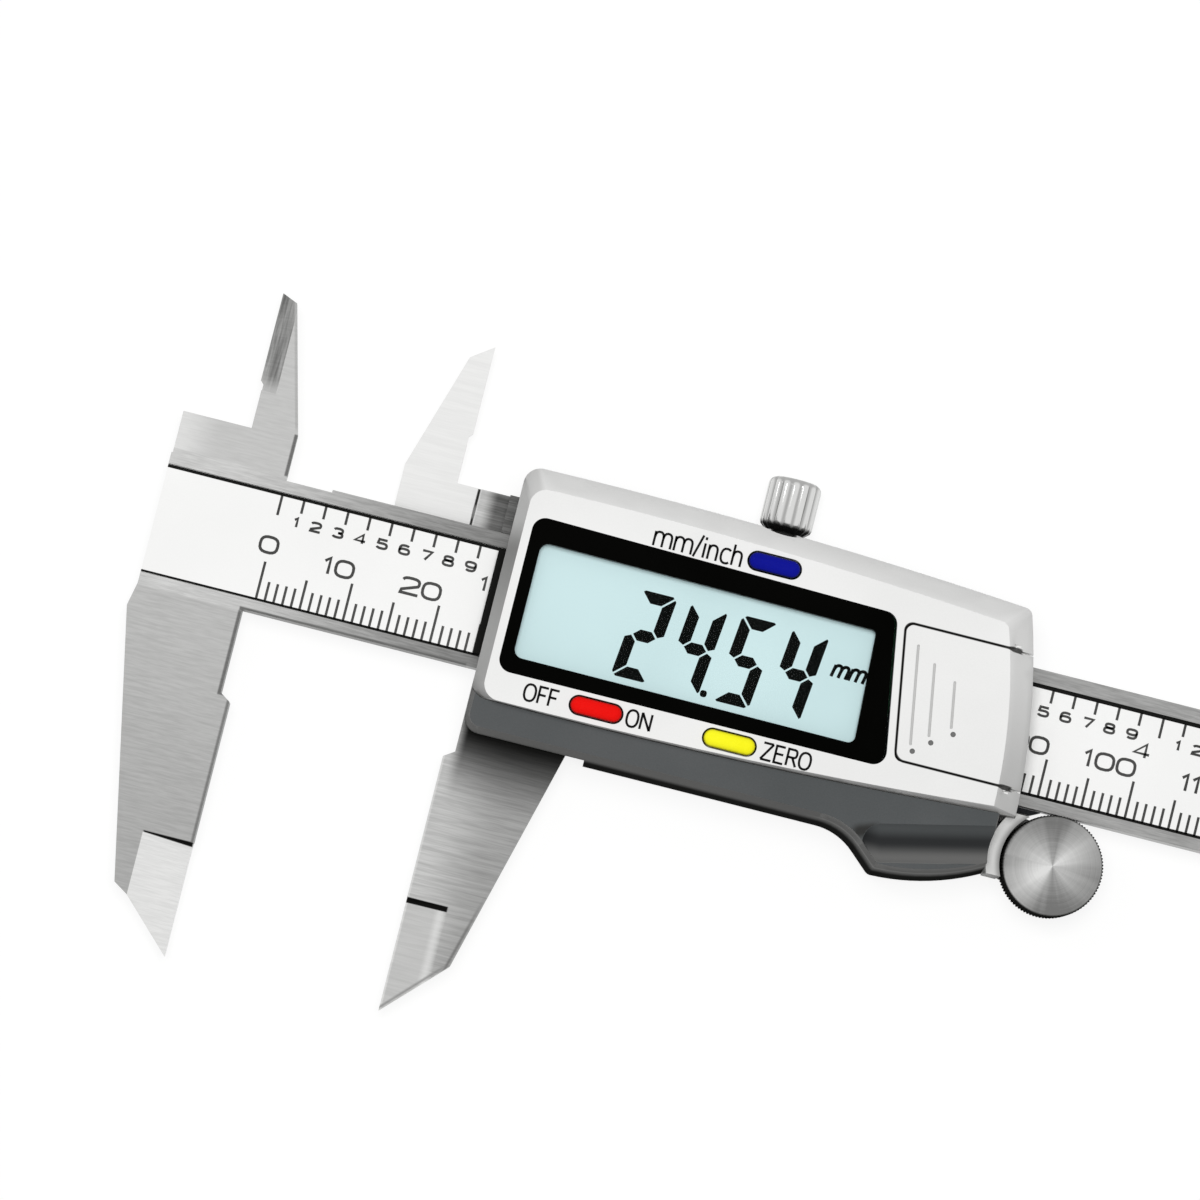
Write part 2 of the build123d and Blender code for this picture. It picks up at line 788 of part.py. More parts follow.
# ---------------------------------------------------------------------------
# Casing
# ---------------------------------------------------------------------------
def casing_outline(left, top, right, foot):
    """Outline of the front cover, grown by these widths past the edge of its face."""
    def right_x(y):
        return face_x + casing_right - y * lean + right

    upper_right = casing_top_right + top
    with BuildSketch() as outline:
        with BuildLine():
            bottom_left = (face_x + casing_left - left, casing_bottom_left)
            top_left = (face_x + casing_left - left, casing_top_left + top)
            top_right = (right_x(upper_right), upper_right)
            lower_right = casing_bottom_right - foot
            bottom_right = (right_x(lower_right), lower_right)
            Line(bottom_left, top_left)
            SagittaArc(top_left, top_right, casing_crown)
            SagittaArc(top_right, bottom_right, right_bow)
            SagittaArc(bottom_right, bottom_left, casing_crown)
        make_face()
        fillet(outline.vertices().sort_by(Axis.X)[:2], casing_corner)
        fillet(outline.vertices().sort_by(Axis.X)[-2:].sort_by(Axis.Y)[-1], casing_right_corner)
    return outline.sketch


def face_outline():
    """Outline of the flat face of the front cover."""
    return casing_outline(0, 0, 0, 0)


def shoulder_outline():
    """Outline of the front cover below its sloping edges."""
    return casing_outline(left_band, top_band, right_band, right_foot)


def cover_outline(grow, wide):
    """Plan of the battery cover: a leaning left end, and open on the right."""
    def left_x(y):
        return face_x + cover_left - y * lean - grow

    top = cover_top + grow + wide
    bottom = cover_bottom - grow - wide
    with BuildSketch() as outline:
        with BuildLine():
            Polyline(
                (left_x(bottom), bottom),
                (left_x(top), top),
                (face_x + beyond * 2, top),
                (face_x + beyond * 2, bottom),
                close=True,
            )
        make_face()
        fillet(outline.vertices().sort_by(Axis.X)[:2], cover_corner)
    return outline.sketch


def cover_end(grow):
    """Plan of the end of the battery cover, which wraps over the casing's end."""
    def inner_x(y):
        return face_x + casing_right - y * lean + cover_end_inset - grow

    top = cover_top + grow
    bottom = cover_bottom - grow
    with BuildSketch() as outline:
        with BuildLine():
            Polyline(
                (inner_x(bottom), bottom),
                (inner_x(top), top),
                (face_x + beyond * 2, top),
                (face_x + beyond * 2, bottom),
                close=True,
            )
        make_face()
    return outline.sketch


def lens_outline(grow):
    """Outline of the display window; its right end leans like the casing's."""
    def right_x(y):
        return face_x + lens_right - y * lean + grow

    with BuildSketch() as outline:
        with BuildLine():
            Polyline(
                (face_x + lens_left - grow, lens_bottom - grow),
                (face_x + lens_left - grow, lens_top_left + grow),
                (right_x(lens_top_right), lens_top_right + grow),
                (right_x(lens_bottom), lens_bottom - grow),
                close=True,
            )
        make_face()
        fillet(outline.vertices(), lens_corner)
    return outline.sketch


# Outer form of the front cover, before anything is cut from it
with BuildPart() as casing_block:
    with BuildSketch(Plane.XY.offset(skirt_bottom)):
        add(shoulder_outline())
    extrude(amount=casing_shoulder - skirt_bottom)
    with BuildSketch(Plane.XY.offset(casing_shoulder)):
        add(shoulder_outline())
    with BuildSketch(Plane.XY.offset(casing_front)):
        add(face_outline())
    loft(ruled=True)
    with BuildSketch(Plane.XY.offset(skirt_bottom)):
        with Locations((face_x + lock_x, scoop_y)):
            Circle(scoop_r)
    extrude(amount=casing_front, mode=Mode.SUBTRACT)

with BuildPart() as front_cover:
    add(casing_block.part)
    # Inside: the bay for display and board, with bosses for the long screws
    with BuildSketch(Plane.XY.offset(casing_back)):
        add(face_outline())
        offset(amount=-casing_wall)
        with Locations(*on_slider([battery_place])):
            Circle(battery_r + battery_room)
        with Locations(*on_slider(case_screws_at)):
            Circle(boss_r, mode=Mode.SUBTRACT)
    extrude(amount=cavity_top - casing_back, mode=Mode.SUBTRACT)
    # Room for the steel frame: what is left behind it is a skirt along the top
    with BuildSketch(Plane.XY.offset(skirt_bottom)):
        with BuildLine():
            Polyline(
                (face_x - beyond, -beyond),
                (face_x - beyond, frame_top(-beyond) + skirt_gap),
                (face_x + beyond * 2, frame_top(beyond * 2) + skirt_gap),
                (face_x + beyond * 2, -beyond),
                close=True,
            )
        make_face()
    extrude(amount=casing_back - skirt_bottom, mode=Mode.SUBTRACT)
    # Notch for the neck of the lock screw, and holes over the gib screws
    with BuildSketch(Plane.XZ.offset(-frame_top_right)):
        with Locations((face_x + lock_x, mid_z)):
            Circle(lock_shank_r + skirt_gap)
            Rectangle(
                2 * (lock_shank_r + skirt_gap), beyond, align=(Align.CENTER, Align.MAX)
            )
        with Locations(*[(face_x + x, mid_z) for x in gib_screws_at]):
            Circle(gib_screw_r + skirt_gap)
    extrude(amount=-beyond, mode=Mode.SUBTRACT)
    # Seats of the display window and the buttons
    with BuildSketch(Plane.XY.offset(cavity_top)):
        add(lens_outline(running_gap))
    extrude(amount=beyond, mode=Mode.SUBTRACT)
    with BuildSketch(Plane.XY.offset(cavity_top - button_travel - 2 * running_gap)):
        with Locations(*on_slider((unit_button, power_button, zero_button))):
            SlotOverall(button_length + 2 * fit_gap, button_width + 2 * fit_gap)
    extrude(amount=beyond, mode=Mode.SUBTRACT)
    # Seat and grooves of the battery cover
    with BuildSketch(Plane.XY.offset(cavity_top)):
        add(cover_outline(cover_gap, 0))
    extrude(amount=beyond, mode=Mode.SUBTRACT)
    with BuildSketch(Plane.XY.offset(cavity_top)):
        add(cover_outline(cover_gap, cover_tongue))
    extrude(amount=cover_tongue_height + cover_gap, mode=Mode.SUBTRACT)
    with BuildSketch(Plane.XY.offset(casing_shoulder - cover_gap)):
        add(cover_end(cover_gap))
    extrude(amount=beyond, mode=Mode.SUBTRACT)
    with Locations(*on_slider(case_screws_at)):
        add(case_screw_room, mode=Mode.SUBTRACT)
finish(front_cover, "front_cover")

with BuildPart() as battery_cover:
    with BuildSketch(Plane.XY.offset(cavity_top)):
        add(cover_outline(0, 0))
    extrude(amount=casing_face_wall)
    with BuildSketch(Plane.XY.offset(cavity_top)):
        add(cover_outline(0, cover_tongue))
    extrude(amount=cover_tongue_height)
    with BuildSketch(Plane.XY.offset(casing_shoulder)):
        add(cover_end(0))
    extrude(amount=cavity_top - casing_shoulder)
    add(casing_block.part, mode=Mode.INTERSECT)
    # Grip lines, each with a dot at its lower end
    for start, top, length in grip_lines:
        with BuildSketch(Plane.XY.offset(casing_front - grip_depth)):
            with Locations((face_x + start + lean * length / 2, top - length / 2)):
                SlotOverall(length, grip_width, rotation=casing_lean - 90)
            dot_x = face_x + start + lean * length + grip_dot[0]
            with Locations((dot_x, top - length - grip_dot[1])):
                Circle(grip_width)
        extrude(amount=past, mode=Mode.SUBTRACT)
finish(battery_cover, "battery_cover")

# Lower body: a drafted block, cut to the frame, the cover and the roller's bracket
run = thumb_low[0] - thumb_start
drop = body_bottom - thumb_low[1]
slope = math.tan(math.radians(thumb_slope))
half_slope = math.tan(math.radians(thumb_slope / 2))
arc_run = (run * slope - drop) / (slope - half_slope)
thumb_mid = (
    (thumb_low[0] + thumb_end[0]) / 2,
    (thumb_low[1] + thumb_end[1]) / 2 - thumb_crown,
)
with BuildPart() as lower_body:
    with BuildSketch(Plane.XY.offset(body_back)) as body_plan:
        with BuildLine():
            left_x = face_x + body_left
            start = (face_x + thumb_start, body_bottom)
            swing = (face_x + thumb_start + arc_run, body_bottom - arc_run * half_slope)
            low, middle, end = on_slider([thumb_low, thumb_mid, thumb_end])
            Polyline(end, (end[0], body_cheek_y), (left_x, body_cheek_y))
            Polyline((left_x, body_cheek_y), (left_x, body_bottom), start)
            TangentArc(start, swing, tangent=(1, 0))
            Line(swing, low)
            ThreePointArc(low, middle, end)
        make_face()
        fillet(body_plan.vertices().sort_by(Axis.Y)[0], thumb_corner)
        fillet(body_plan.vertices().group_by(Axis.X)[0].sort_by(Axis.Y)[0], body_corner)
    extrude(amount=body_front - body_back, taper=body_draft)
    # Hollow for the thumb
    hollow_end = (face_x + hollow_start, hollow_y, body_front + hollow_r - hollow_depth)
    hollow_way = Vector(1, 0, 0).rotate(Axis.Z, hollow_turn)
    with BuildSketch(Plane(hollow_end, z_dir=hollow_way)):
        Circle(hollow_r)
    extrude(amount=beyond, mode=Mode.SUBTRACT)
    with Locations(hollow_end):
        Sphere(hollow_r, mode=Mode.SUBTRACT)
    # Room for the front cover
    with BuildSketch(Plane.XY.offset(body_back)):
        add(shoulder_outline())
        offset(amount=fit_gap)
    extrude(amount=beyond, mode=Mode.SUBTRACT)
    # Room for the frame and the moving jaw
    with BuildSketch(Plane.XY.offset(body_back)):
        with BuildLine():
            Polyline(
                (face_x - beyond, -beyond),
                (face_x + body_notch, -beyond),
                (face_x + body_notch, frame_bottom - fit_gap),
                (face_x + frame_right + fit_gap, frame_bottom - fit_gap),
                (face_x + frame_right + fit_gap, 0),
                (face_x - beyond, 0),
                close=True,
            )
        make_face()
    extrude(amount=casing_back - body_back, mode=Mode.SUBTRACT)
    # Hollow end beside the bracket of the roller
    with BuildSketch(Plane.XY.offset(body_back)):
        with Locations(roller_place):
            Circle(bracket_r + fit_gap)
    extrude(amount=beyond, mode=Mode.SUBTRACT)
    with Locations(*on_slider(body_screws_at)):
        add(body_screw_room, mode=Mode.SUBTRACT)
finish(lower_body, "lower_body")

wiper_back = label_back + scale_label_thickness + fit_gap
with BuildPart() as beam_wiper:
    with BuildSketch(Plane.XY.offset(wiper_back)):
        with Locations((face_x + frame_left, scale_offset)):
            Rectangle(
                wiper_width, scale_width - 2 * wiper_inset, align=(Align.MAX, Align.CENTER)
            )
    extrude(amount=wiper_thickness)
finish(beam_wiper, "beam_wiper")

# ---------------------------------------------------------------------------
# Electronics
# ---------------------------------------------------------------------------
with BuildPart() as sensor_board:
    with BuildSketch(Plane.XY.offset(frame_inner)):
        with Locations((face_x + (window_left + window_right) / 2, 0)):
            Rectangle(
                window_right - window_left - 2 * fit_gap, 2 * (window_half - fit_gap)
            )
    extrude(amount=board_back - frame_inner)
finish(sensor_board, "sensor_board")

with BuildPart() as circuit_board:
    with BuildSketch(Plane.XY.offset(board_back)):
        add(face_outline())
        offset(amount=-casing_wall - 2 * fit_gap)
        with Locations((face_x + board_right, 0)):
            Rectangle(
                2 * beyond, 2 * beyond, align=(Align.MAX, Align.CENTER), mode=Mode.INTERSECT
            )
        with Locations(*on_slider(case_screws_at)):
            Circle(boss_r + 2 * fit_gap, mode=Mode.SUBTRACT)
    extrude(amount=board_thickness)
finish(circuit_board, "circuit_board")

with BuildPart() as chip:
    with BuildSketch(Plane.XY.offset(board_front)):
        with Locations((face_x + (lcd_left + lcd_right) / 2, 0)):
            RectangleRounded(chip_size, chip_size, chip_corner)
    extrude(amount=chip_thickness)
    chamfer(faces().sort_by(Axis.Z)[-1].edges(), chip_edge)
finish(chip, "chip")

with BuildPart() as button_switches:
    with BuildSketch(Plane.XY.offset(board_front)):
        with Locations(*on_slider((unit_button, power_button, zero_button))):
            Rectangle(*switch_size)
    extrude(amount=switch_height)
finish(button_switches, "button_switches")

lcd_front = cavity_top - lcd_clearance
lcd_back = lcd_front - lcd_thickness
lcd_size = (lcd_right - lcd_left, lcd_top - lcd_bottom)
lcd_centre = (face_x + (lcd_left + lcd_right) / 2, (lcd_top + lcd_bottom) / 2)
with BuildPart() as lcd_panel:
    with BuildSketch(Plane.XY.offset(lcd_back)):
        with Locations(lcd_centre):
            Rectangle(*lcd_size)
    extrude(amount=lcd_thickness)
finish(lcd_panel, "lcd_panel")

with BuildPart() as lcd_holder:
    with BuildSketch(Plane.XY.offset(board_front)):
        with Locations(lcd_centre):
            RectangleRounded(
                lcd_size[0] + 2 * holder_wall, lcd_size[1] + 2 * holder_wall, holder_corner
            )
            Rectangle(
                lcd_size[0] - 2 * holder_ledge,
                lcd_size[1] - 2 * holder_ledge,
                mode=Mode.SUBTRACT,
            )
    extrude(amount=cavity_top - board_front)
    with BuildSketch(Plane.XY.offset(lcd_back)):
        with Locations(lcd_centre):
            Rectangle(lcd_size[0] + 2 * running_gap, lcd_size[1] + 2 * running_gap)
    extrude(amount=beyond, mode=Mode.SUBTRACT)
finish(lcd_holder, "lcd_holder")

with BuildPart() as lcd_connector:
    with BuildSketch(Plane.XY.offset(board_front)):
        with Locations((lcd_centre[0], lcd_top - holder_ledge - fit_gap)):
            Rectangle(
                lcd_size[0] - 2 * (holder_ledge + connector_end),
                connector_width,
                align=(Align.CENTER, Align.MAX),
            )
    extrude(amount=lcd_back - board_front)
finish(lcd_connector, "lcd_connector")

with BuildPart() as display_window:
    with BuildSketch(Plane.XY.offset(cavity_top + running_gap)):
        add(lens_outline(0))
    extrude(amount=lens_thickness)
    chamfer(faces().sort_by(Axis.Z)[-1].edges(), lens_edge)
finish(display_window, "display_window")

# ---------------------------------------------------------------------------
# Buttons
# ---------------------------------------------------------------------------
button_top = casing_front + button_rise
switch_top = board_front + switch_height
with BuildPart() as button:
    with BuildSketch(Plane.XY.offset(cavity_top - running_gap)):
        SlotOverall(button_length, button_width)
    extrude(amount=button_top - cavity_top + running_gap)
    chamfer(faces().sort_by(Axis.Z)[-1].edges(), button_edge)
    with BuildSketch(Plane.XY.offset(cavity_top - running_gap - button_flange_thickness)):
        Rectangle(button_length + 2 * button_flange, button_flange_width)
    extrude(amount=button_flange_thickness)
    with BuildSketch(Plane.XY.offset(switch_top + button_travel + running_gap)):
        Circle(button_stem_r)
    extrude(until=Until.NEXT)

for name, place in (
    ("unit_button", unit_button),
    ("power_button", power_button),
    ("zero_button", zero_button),
):
    with BuildPart() as placed_button:
        with Locations(*on_slider([place])):
            add(button.part)
    finish(placed_button, name)

# ---------------------------------------------------------------------------
# Battery and its contacts
# ---------------------------------------------------------------------------
battery_x, battery_y = on_slider([battery_place])[0]
battery_bottom = casing_back + contact_thickness
with BuildPart() as battery:
    with BuildSketch(Plane.XY.offset(battery_bottom)):
        with Locations((battery_x, battery_y)):
            Circle(battery_r - battery_cap_inset)
    extrude(amount=battery_cap_height)
    with BuildSketch(Plane.XY.offset(battery_bottom + battery_cap_height)):
        with Locations((battery_x, battery_y)):
            Circle(battery_r)
    extrude(amount=battery_height - battery_cap_height)
    chamfer(faces().sort_by(Axis.Z)[-1].edges(), battery_edge)
finish(battery, "battery")

with BuildPart() as battery_contacts:
    # Strip under the negative cap
    with BuildSketch(Plane.XY.offset(casing_back)):
        with Locations((battery_x, battery_y)):
            RectangleRounded(*contact_size, contact_corner)
    extrude(amount=contact_thickness)
    # Spring leaf round the positive can
    leaf_radii = (battery_r + leaf_gap, battery_r + battery_room - leaf_gap)
    with BuildSketch(Plane.XY.offset(battery_bottom + battery_cap_height)):
        with BuildLine():
            for radius in leaf_radii:
                CenterArc(
                    (battery_x, battery_y), radius, leaf_angles[0], leaf_angles[1] - leaf_angles[0]
                )
            for turn in leaf_angles:
                direction = Vector(1, 0).rotate(Axis.Z, turn)
                centre = Vector(battery_x, battery_y)
                Line(*[centre + direction * radius for radius in leaf_radii])
        make_face()
    extrude(amount=leaf_height)
finish(battery_contacts, "battery_contacts")

# ---------------------------------------------------------------------------
# Thumb roller
# ---------------------------------------------------------------------------
roller_top = roller_bottom + roller_thickness
with BuildPart() as thumb_roller:
    with BuildSketch(Plane.XY.offset(roller_bottom)):
        with Locations(roller_place):
            Circle(roller_r)
    extrude(amount=roller_thickness)
    chamfer(edges().group_by(Axis.Z)[-1], roller_edge)
    with BuildSketch(Plane.XY.offset(roller_bottom)):
        with Locations(roller_place):
            with PolarLocations(roller_r + roller_flute_out, roller_flutes):
                Rectangle(roller_flute, roller_flute, rotation=45)
    extrude(amount=roller_thickness, mode=Mode.SUBTRACT)
    with BuildSketch(Plane.XY.offset(roller_bottom)):
        with Locations(roller_place):
            Circle(axle_r + running_gap)
    extrude(amount=roller_thickness - roller_skin, mode=Mode.SUBTRACT)
finish(thumb_roller, "thumb_roller")

with BuildPart() as roller_axle:
    with BuildSketch(Plane.XY.offset(plate_back)):
        with Locations(roller_place):
            Circle(axle_r)
    extrude(amount=roller_top - roller_skin - axle_end_gap - plate_back)
finish(roller_axle, "roller_axle")

with BuildPart() as roller_bracket:
    # Plate behind the roller, screwed to the frame
    with BuildSketch(Plane.XY.offset(plate_back)):
        with BuildLine():
            Polyline(
                *on_slider([
                    (bracket_plate_left, frame_bottom + bracket_overlap),
                    (bracket_plate_left, bracket_plate_top),
                    (frame_right, bracket_plate_top),
                    (roller_x, roller_y + axle_boss_r),
                    (roller_x, roller_y - axle_boss_r),
                    (frame_right, frame_bottom - bracket_overlap),
                    (frame_right - frame_corner[0], frame_bottom + bracket_overlap),
                ]),
                close=True,
            )
        make_face()
        with Locations(roller_place):
            Circle(axle_boss_r)
            Circle(axle_r, mode=Mode.SUBTRACT)
    extrude(amount=back_plate_thickness)
    # Curved guard along the left side of the roller
    with BuildSketch(Plane.XY.offset(plate_back)):
        with Locations(roller_place):
            Circle(bracket_r)
            Circle(roller_r + guard_gap, mode=Mode.SUBTRACT)
        with Locations((roller_place[0], guard_top)):
            Rectangle(
                beyond,
                guard_top - guard_bottom,
                align=(Align.MAX, Align.MAX),
                mode=Mode.INTERSECT,
            )
    extrude(amount=bracket_top - plate_back)
    with BuildSketch(Plane.XY.offset(casing_back - fit_gap)):
        add(shoulder_outline())
        offset(amount=2 * fit_gap)
    extrude(amount=beyond, mode=Mode.SUBTRACT)
    with Locations(*on_slider(bracket_screws_at)):
        add(bracket_screw_room, mode=Mode.SUBTRACT)
finish(roller_bracket, "roller_bracket")

with BuildPart() as roller_spring:
    with BuildSketch(Plane.XY.offset(spring_bottom)):
        with BuildLine():
            Polyline(
                *on_slider([
                    (frame_right, spring_top),
                    (frame_right + spring_length, spring_top),
                    (frame_right + spring_length - spring_point, spring_top - spring_thickness),
                    (frame_right, spring_top - spring_thickness),
                ]),
                close=True,
            )
        make_face()
    extrude(amount=spring_width)
finish(roller_spring, "roller_spring")
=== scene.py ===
# %% [markdown]
# # Dressing a digital caliper
#
# A CAD frame already holds every solid of the caliper in its true place. This lesson
# gives the solids their finishes, prints the scale and the lettering, lights up the
# display, and sets the stage with a camera, a pale floor and soft light.
#
# The frame comes first. Its bodies carry the joints, so nothing in it is moved, and
# every new piece is told which body it rides on. The size of the bare frame is kept,
# and the floor is laid just below it.

import json
import math

import bmesh
import bpy
from mathutils import Matrix, Vector


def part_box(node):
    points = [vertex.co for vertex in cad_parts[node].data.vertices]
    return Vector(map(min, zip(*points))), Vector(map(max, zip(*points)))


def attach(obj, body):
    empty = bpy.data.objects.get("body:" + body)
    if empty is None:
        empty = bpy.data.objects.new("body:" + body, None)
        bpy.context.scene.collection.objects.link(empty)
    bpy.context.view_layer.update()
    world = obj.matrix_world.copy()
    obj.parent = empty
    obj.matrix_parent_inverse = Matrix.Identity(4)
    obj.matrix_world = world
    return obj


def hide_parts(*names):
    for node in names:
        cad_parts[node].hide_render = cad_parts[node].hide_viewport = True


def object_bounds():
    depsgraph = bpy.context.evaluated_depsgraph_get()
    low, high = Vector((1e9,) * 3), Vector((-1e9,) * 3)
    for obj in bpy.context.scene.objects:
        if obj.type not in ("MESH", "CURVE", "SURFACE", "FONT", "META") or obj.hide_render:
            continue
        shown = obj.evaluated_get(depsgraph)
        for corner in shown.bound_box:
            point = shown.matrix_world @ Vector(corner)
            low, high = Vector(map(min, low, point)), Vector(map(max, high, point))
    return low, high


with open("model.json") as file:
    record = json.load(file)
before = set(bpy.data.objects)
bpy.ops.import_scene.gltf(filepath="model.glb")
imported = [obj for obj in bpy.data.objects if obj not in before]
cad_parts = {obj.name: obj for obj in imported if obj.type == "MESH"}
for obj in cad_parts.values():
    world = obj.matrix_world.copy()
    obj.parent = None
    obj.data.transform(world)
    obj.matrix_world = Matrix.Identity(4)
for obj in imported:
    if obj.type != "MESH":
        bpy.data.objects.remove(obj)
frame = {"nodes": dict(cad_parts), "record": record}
cad_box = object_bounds()
nodes = frame["nodes"]

# %% [markdown]
# A caliper is drawn and sold in millimetres, and Blender thinks in metres. All sizes
# below are in millimetres, and two helpers are the only places that convert them: one
# measures a CAD node, the other makes a mesh. The jaws' opening is read from the
# record, because the display has to show the same number.

# %% Measure in millimetres
MM = 0.001


def box_mm(node):
    """Lowest and highest corner of a CAD node, in millimetres."""
    low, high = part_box(node)
    return low / MM, high / MM


def middle_mm(node):
    """Centre of a CAD node's box, in millimetres."""
    low, high = box_mm(node)
    return (low + high) / 2


mounts = {mount["name"]: mount for mount in frame["record"]["mounts"]}
reading = mounts["moving_jaw_face"]["pos_m"][0] / MM
print(f"jaws open by {reading:.2f} mm")

# %% [markdown]
# ## The shader toolkit
#
# Node trees read best as sums. This small class wraps one socket of a node tree, so
# that `0.5 + 0.2 * grain` adds the Math nodes that work it out. A Math node would turn
# a colour grey, so colours go through a Mix node and vectors through Vector Math, and
# every other node comes from one method: its type, then its settings, then what goes
# into its sockets.


# %% Wrap a socket
class Wire:
    """One output socket of a node tree; arithmetic on wires adds Math nodes."""

    def __init__(self, tree, socket=None):
        self.tree = tree
        self.socket = socket

    def node(self, kind, settings=None, inputs=None, output=0):
        """Add a node: settings first, then a value or a wire for each socket."""
        made = self.tree.nodes.new("ShaderNode" + kind)
        for name, value in (settings or {}).items():
            setattr(made, name, value)
        for key, value in (inputs or {}).items():
            plug(made.inputs[key], value)
        return Wire(self.tree, made.outputs[output])

    def math(self, operation, *values):
        """Add a Math node for an operation on wires and numbers."""
        return self.node("Math", {"operation": operation}, dict(enumerate(values)))

    def __add__(self, other):
        return self.math("ADD", self, other)

    def __sub__(self, other):
        return self.math("SUBTRACT", self, other)

    def __rsub__(self, other):
        return self.math("SUBTRACT", other, self)

    def __mul__(self, other):
        return self.math("MULTIPLY", self, other)

    def __neg__(self):
        return self * -1

    def __abs__(self):
        return self.math("ABSOLUTE", self)

    def larger(self, other):
        """The larger of this value and another."""
        return self.math("MAXIMUM", self, other)

    def smaller(self, other):
        """The smaller of this value and another."""
        return self.math("MINIMUM", self, other)

    def root(self):
        """The square root."""
        return self.math("SQRT", self)

    def cosine(self):
        """The cosine of an angle."""
        return self.math("COSINE", self)

    __radd__ = __add__
    __rmul__ = __mul__


def plug(socket, value):
    """Link a wire to a socket, or set the socket's own value."""
    if isinstance(value, Wire):
        value.tree.links.new(value.socket, socket)
    else:
        socket.default_value = value


# %% [markdown]
# Finishes are described the way a paint chart does it, with red, green and blue from
# 0 to 255. Shaders work in linear light, so one helper converts. The other helpers
# are the few patterns that every finish here is built from: a place on the object,
# noise that can be stretched into brush marks, a soft step from one region to the
# next, and a blend of two colours.


# %% Colours and patterns
def chart(red, green, blue):
    """A linear colour from the 0 to 255 values of a paint chart."""
    channels = []
    for value in (red, green, blue):
        share = value / 255
        channels.append(share / 12.92 if share <= 0.04045 else ((share + 0.055) / 1.055) ** 2.4)
    return (*channels, 1.0)


def grey(tone):
    """A neutral, slightly warm grey of the paint chart."""
    return chart(tone, tone, tone - 1)


def new_finish(name, **constants):
    """A material, its shader and a wire to build its pattern from."""
    material = bpy.data.materials.new(name)
    material.use_nodes = True
    shader = material.node_tree.nodes["Principled BSDF"]
    for socket, value in constants.items():
        plug(shader.inputs[socket.replace("_", " ")], value)
    return material, shader, Wire(material.node_tree)


def place_on(start):
    """Where the shaded point lies in the caliper's own frame, in metres."""
    return start.node("TexCoord", output="Object")


def along_axis(place, axis):
    """One coordinate of a place, in millimetres."""
    return place.node("SeparateXYZ", inputs={0: place}, output=axis) * (1 / MM)


def noise(place, grains, detail=3.0):
    """Noise with so many grains per millimetre along x, y and z."""
    stretched = place.node(
        "VectorMath", {"operation": "MULTIPLY"}, {0: place, 1: [count / MM for count in grains]}
    )
    return place.node("TexNoise", inputs={"Vector": stretched, "Scale": 1.0, "Detail": detail})


def soft_step(value, start, stop):
    """0 before start and 1 after stop, with a smooth way between."""
    return value.node(
        "MapRange",
        {"interpolation_type": "SMOOTHSTEP"},
        {"Value": value, "From Min": start, "From Max": stop},
    )


def fade(value, start, stop):
    """1 before start and 0 after stop, with a smooth way between."""
    return 1 - soft_step(value, start, stop)


def between(value, low, high, soft=0.1):
    """1 from low to high and 0 beyond, with soft ends."""
    return soft_step(value, low - soft, low + soft) * fade(value, high - soft, high + soft)


def from_centre(across, up):
    """How far a place lies from a centre, from its offset across and up."""
    return (across * across + up * up).root()


def blend(factor, *colours):
    """From one colour to another as the factor goes from 0 to 1; a number is a grey."""
    first, second = (grey(tint) if isinstance(tint, int) else tint for tint in colours)
    return factor.node("Mix", {"data_type": "RGBA"}, {0: factor, 6: first, 7: second}, output=2)


def facing(start, axis):
    """How far the surface faces along one axis, from -1 to 1."""
    normal = start.node("NewGeometry", output="Normal")
    return start.node("SeparateXYZ", inputs={0: normal}, output=axis)


def paint(colour, pattern, regions):
    """A colour with regions laid over it; each is a mask and the pattern's two tones."""
    for mask, dark, light in regions:
        colour = blend(mask, colour, blend(pattern, dark, light))
    return colour


def bump(height, depth_mm, strength=1.0):
    """A normal that is tilted by a height pattern."""
    return height.node(
        "Bump", inputs={"Strength": strength, "Distance": depth_mm * MM, "Height": height}
    )


print("black and white of the chart:", chart(0, 0, 0)[0], round(chart(255, 255, 255)[0], 3))

# %% [markdown]
# ## Brushed steel
#
# Beam and jaws are hardened stainless steel, ground flat and then brushed along the
# beam. The brush leaves fine scratches in one direction, and noise that is stretched
# along X looks just like them. It is nearly even along Z, so that a slanted face shows
# the same scratches as a flat one.
#
# One piece of steel shows several tones, because its faces were ground on different
# wheels. So a finish is a list of regions, painted one over the other. Each has a mask
# from 0 to 1, and the two tones between which its scratches run.


# %% Brushed steel
def scratches(place, length, width):
    """Brush marks of some length and width, in millimetres, with finer ones between."""
    coarse = noise(place, (1 / length, 1 / width, 0.3), detail=4.0)
    fine = noise(place, (3 / length, 3 / width, 0.3), detail=2.0)
    return soft_step(coarse * 0.6 + fine * 0.4, 0.32, 0.68)


def brushed_steel(name, dark, light, regions=None, length=8.0, width=0.28):
    """Steel brushed along X; regions(place) gives masks with their two tones."""
    material, shader, start = new_finish(name, Metallic=1.0)
    place = place_on(start)
    marks = scratches(place, length, width)
    layers = regions(place) if regions else ()
    plug(shader.inputs["Base Color"], paint(blend(marks, dark, light), marks, layers))
    plug(shader.inputs["Roughness"], 0.36 + 0.1 * marks)
    plug(shader.inputs["Normal"], bump(marks, 0.003))
    return material


steel = brushed_steel("brushed_steel", grey(166), grey(206))
print("finishes so far:", len(bpy.data.materials))
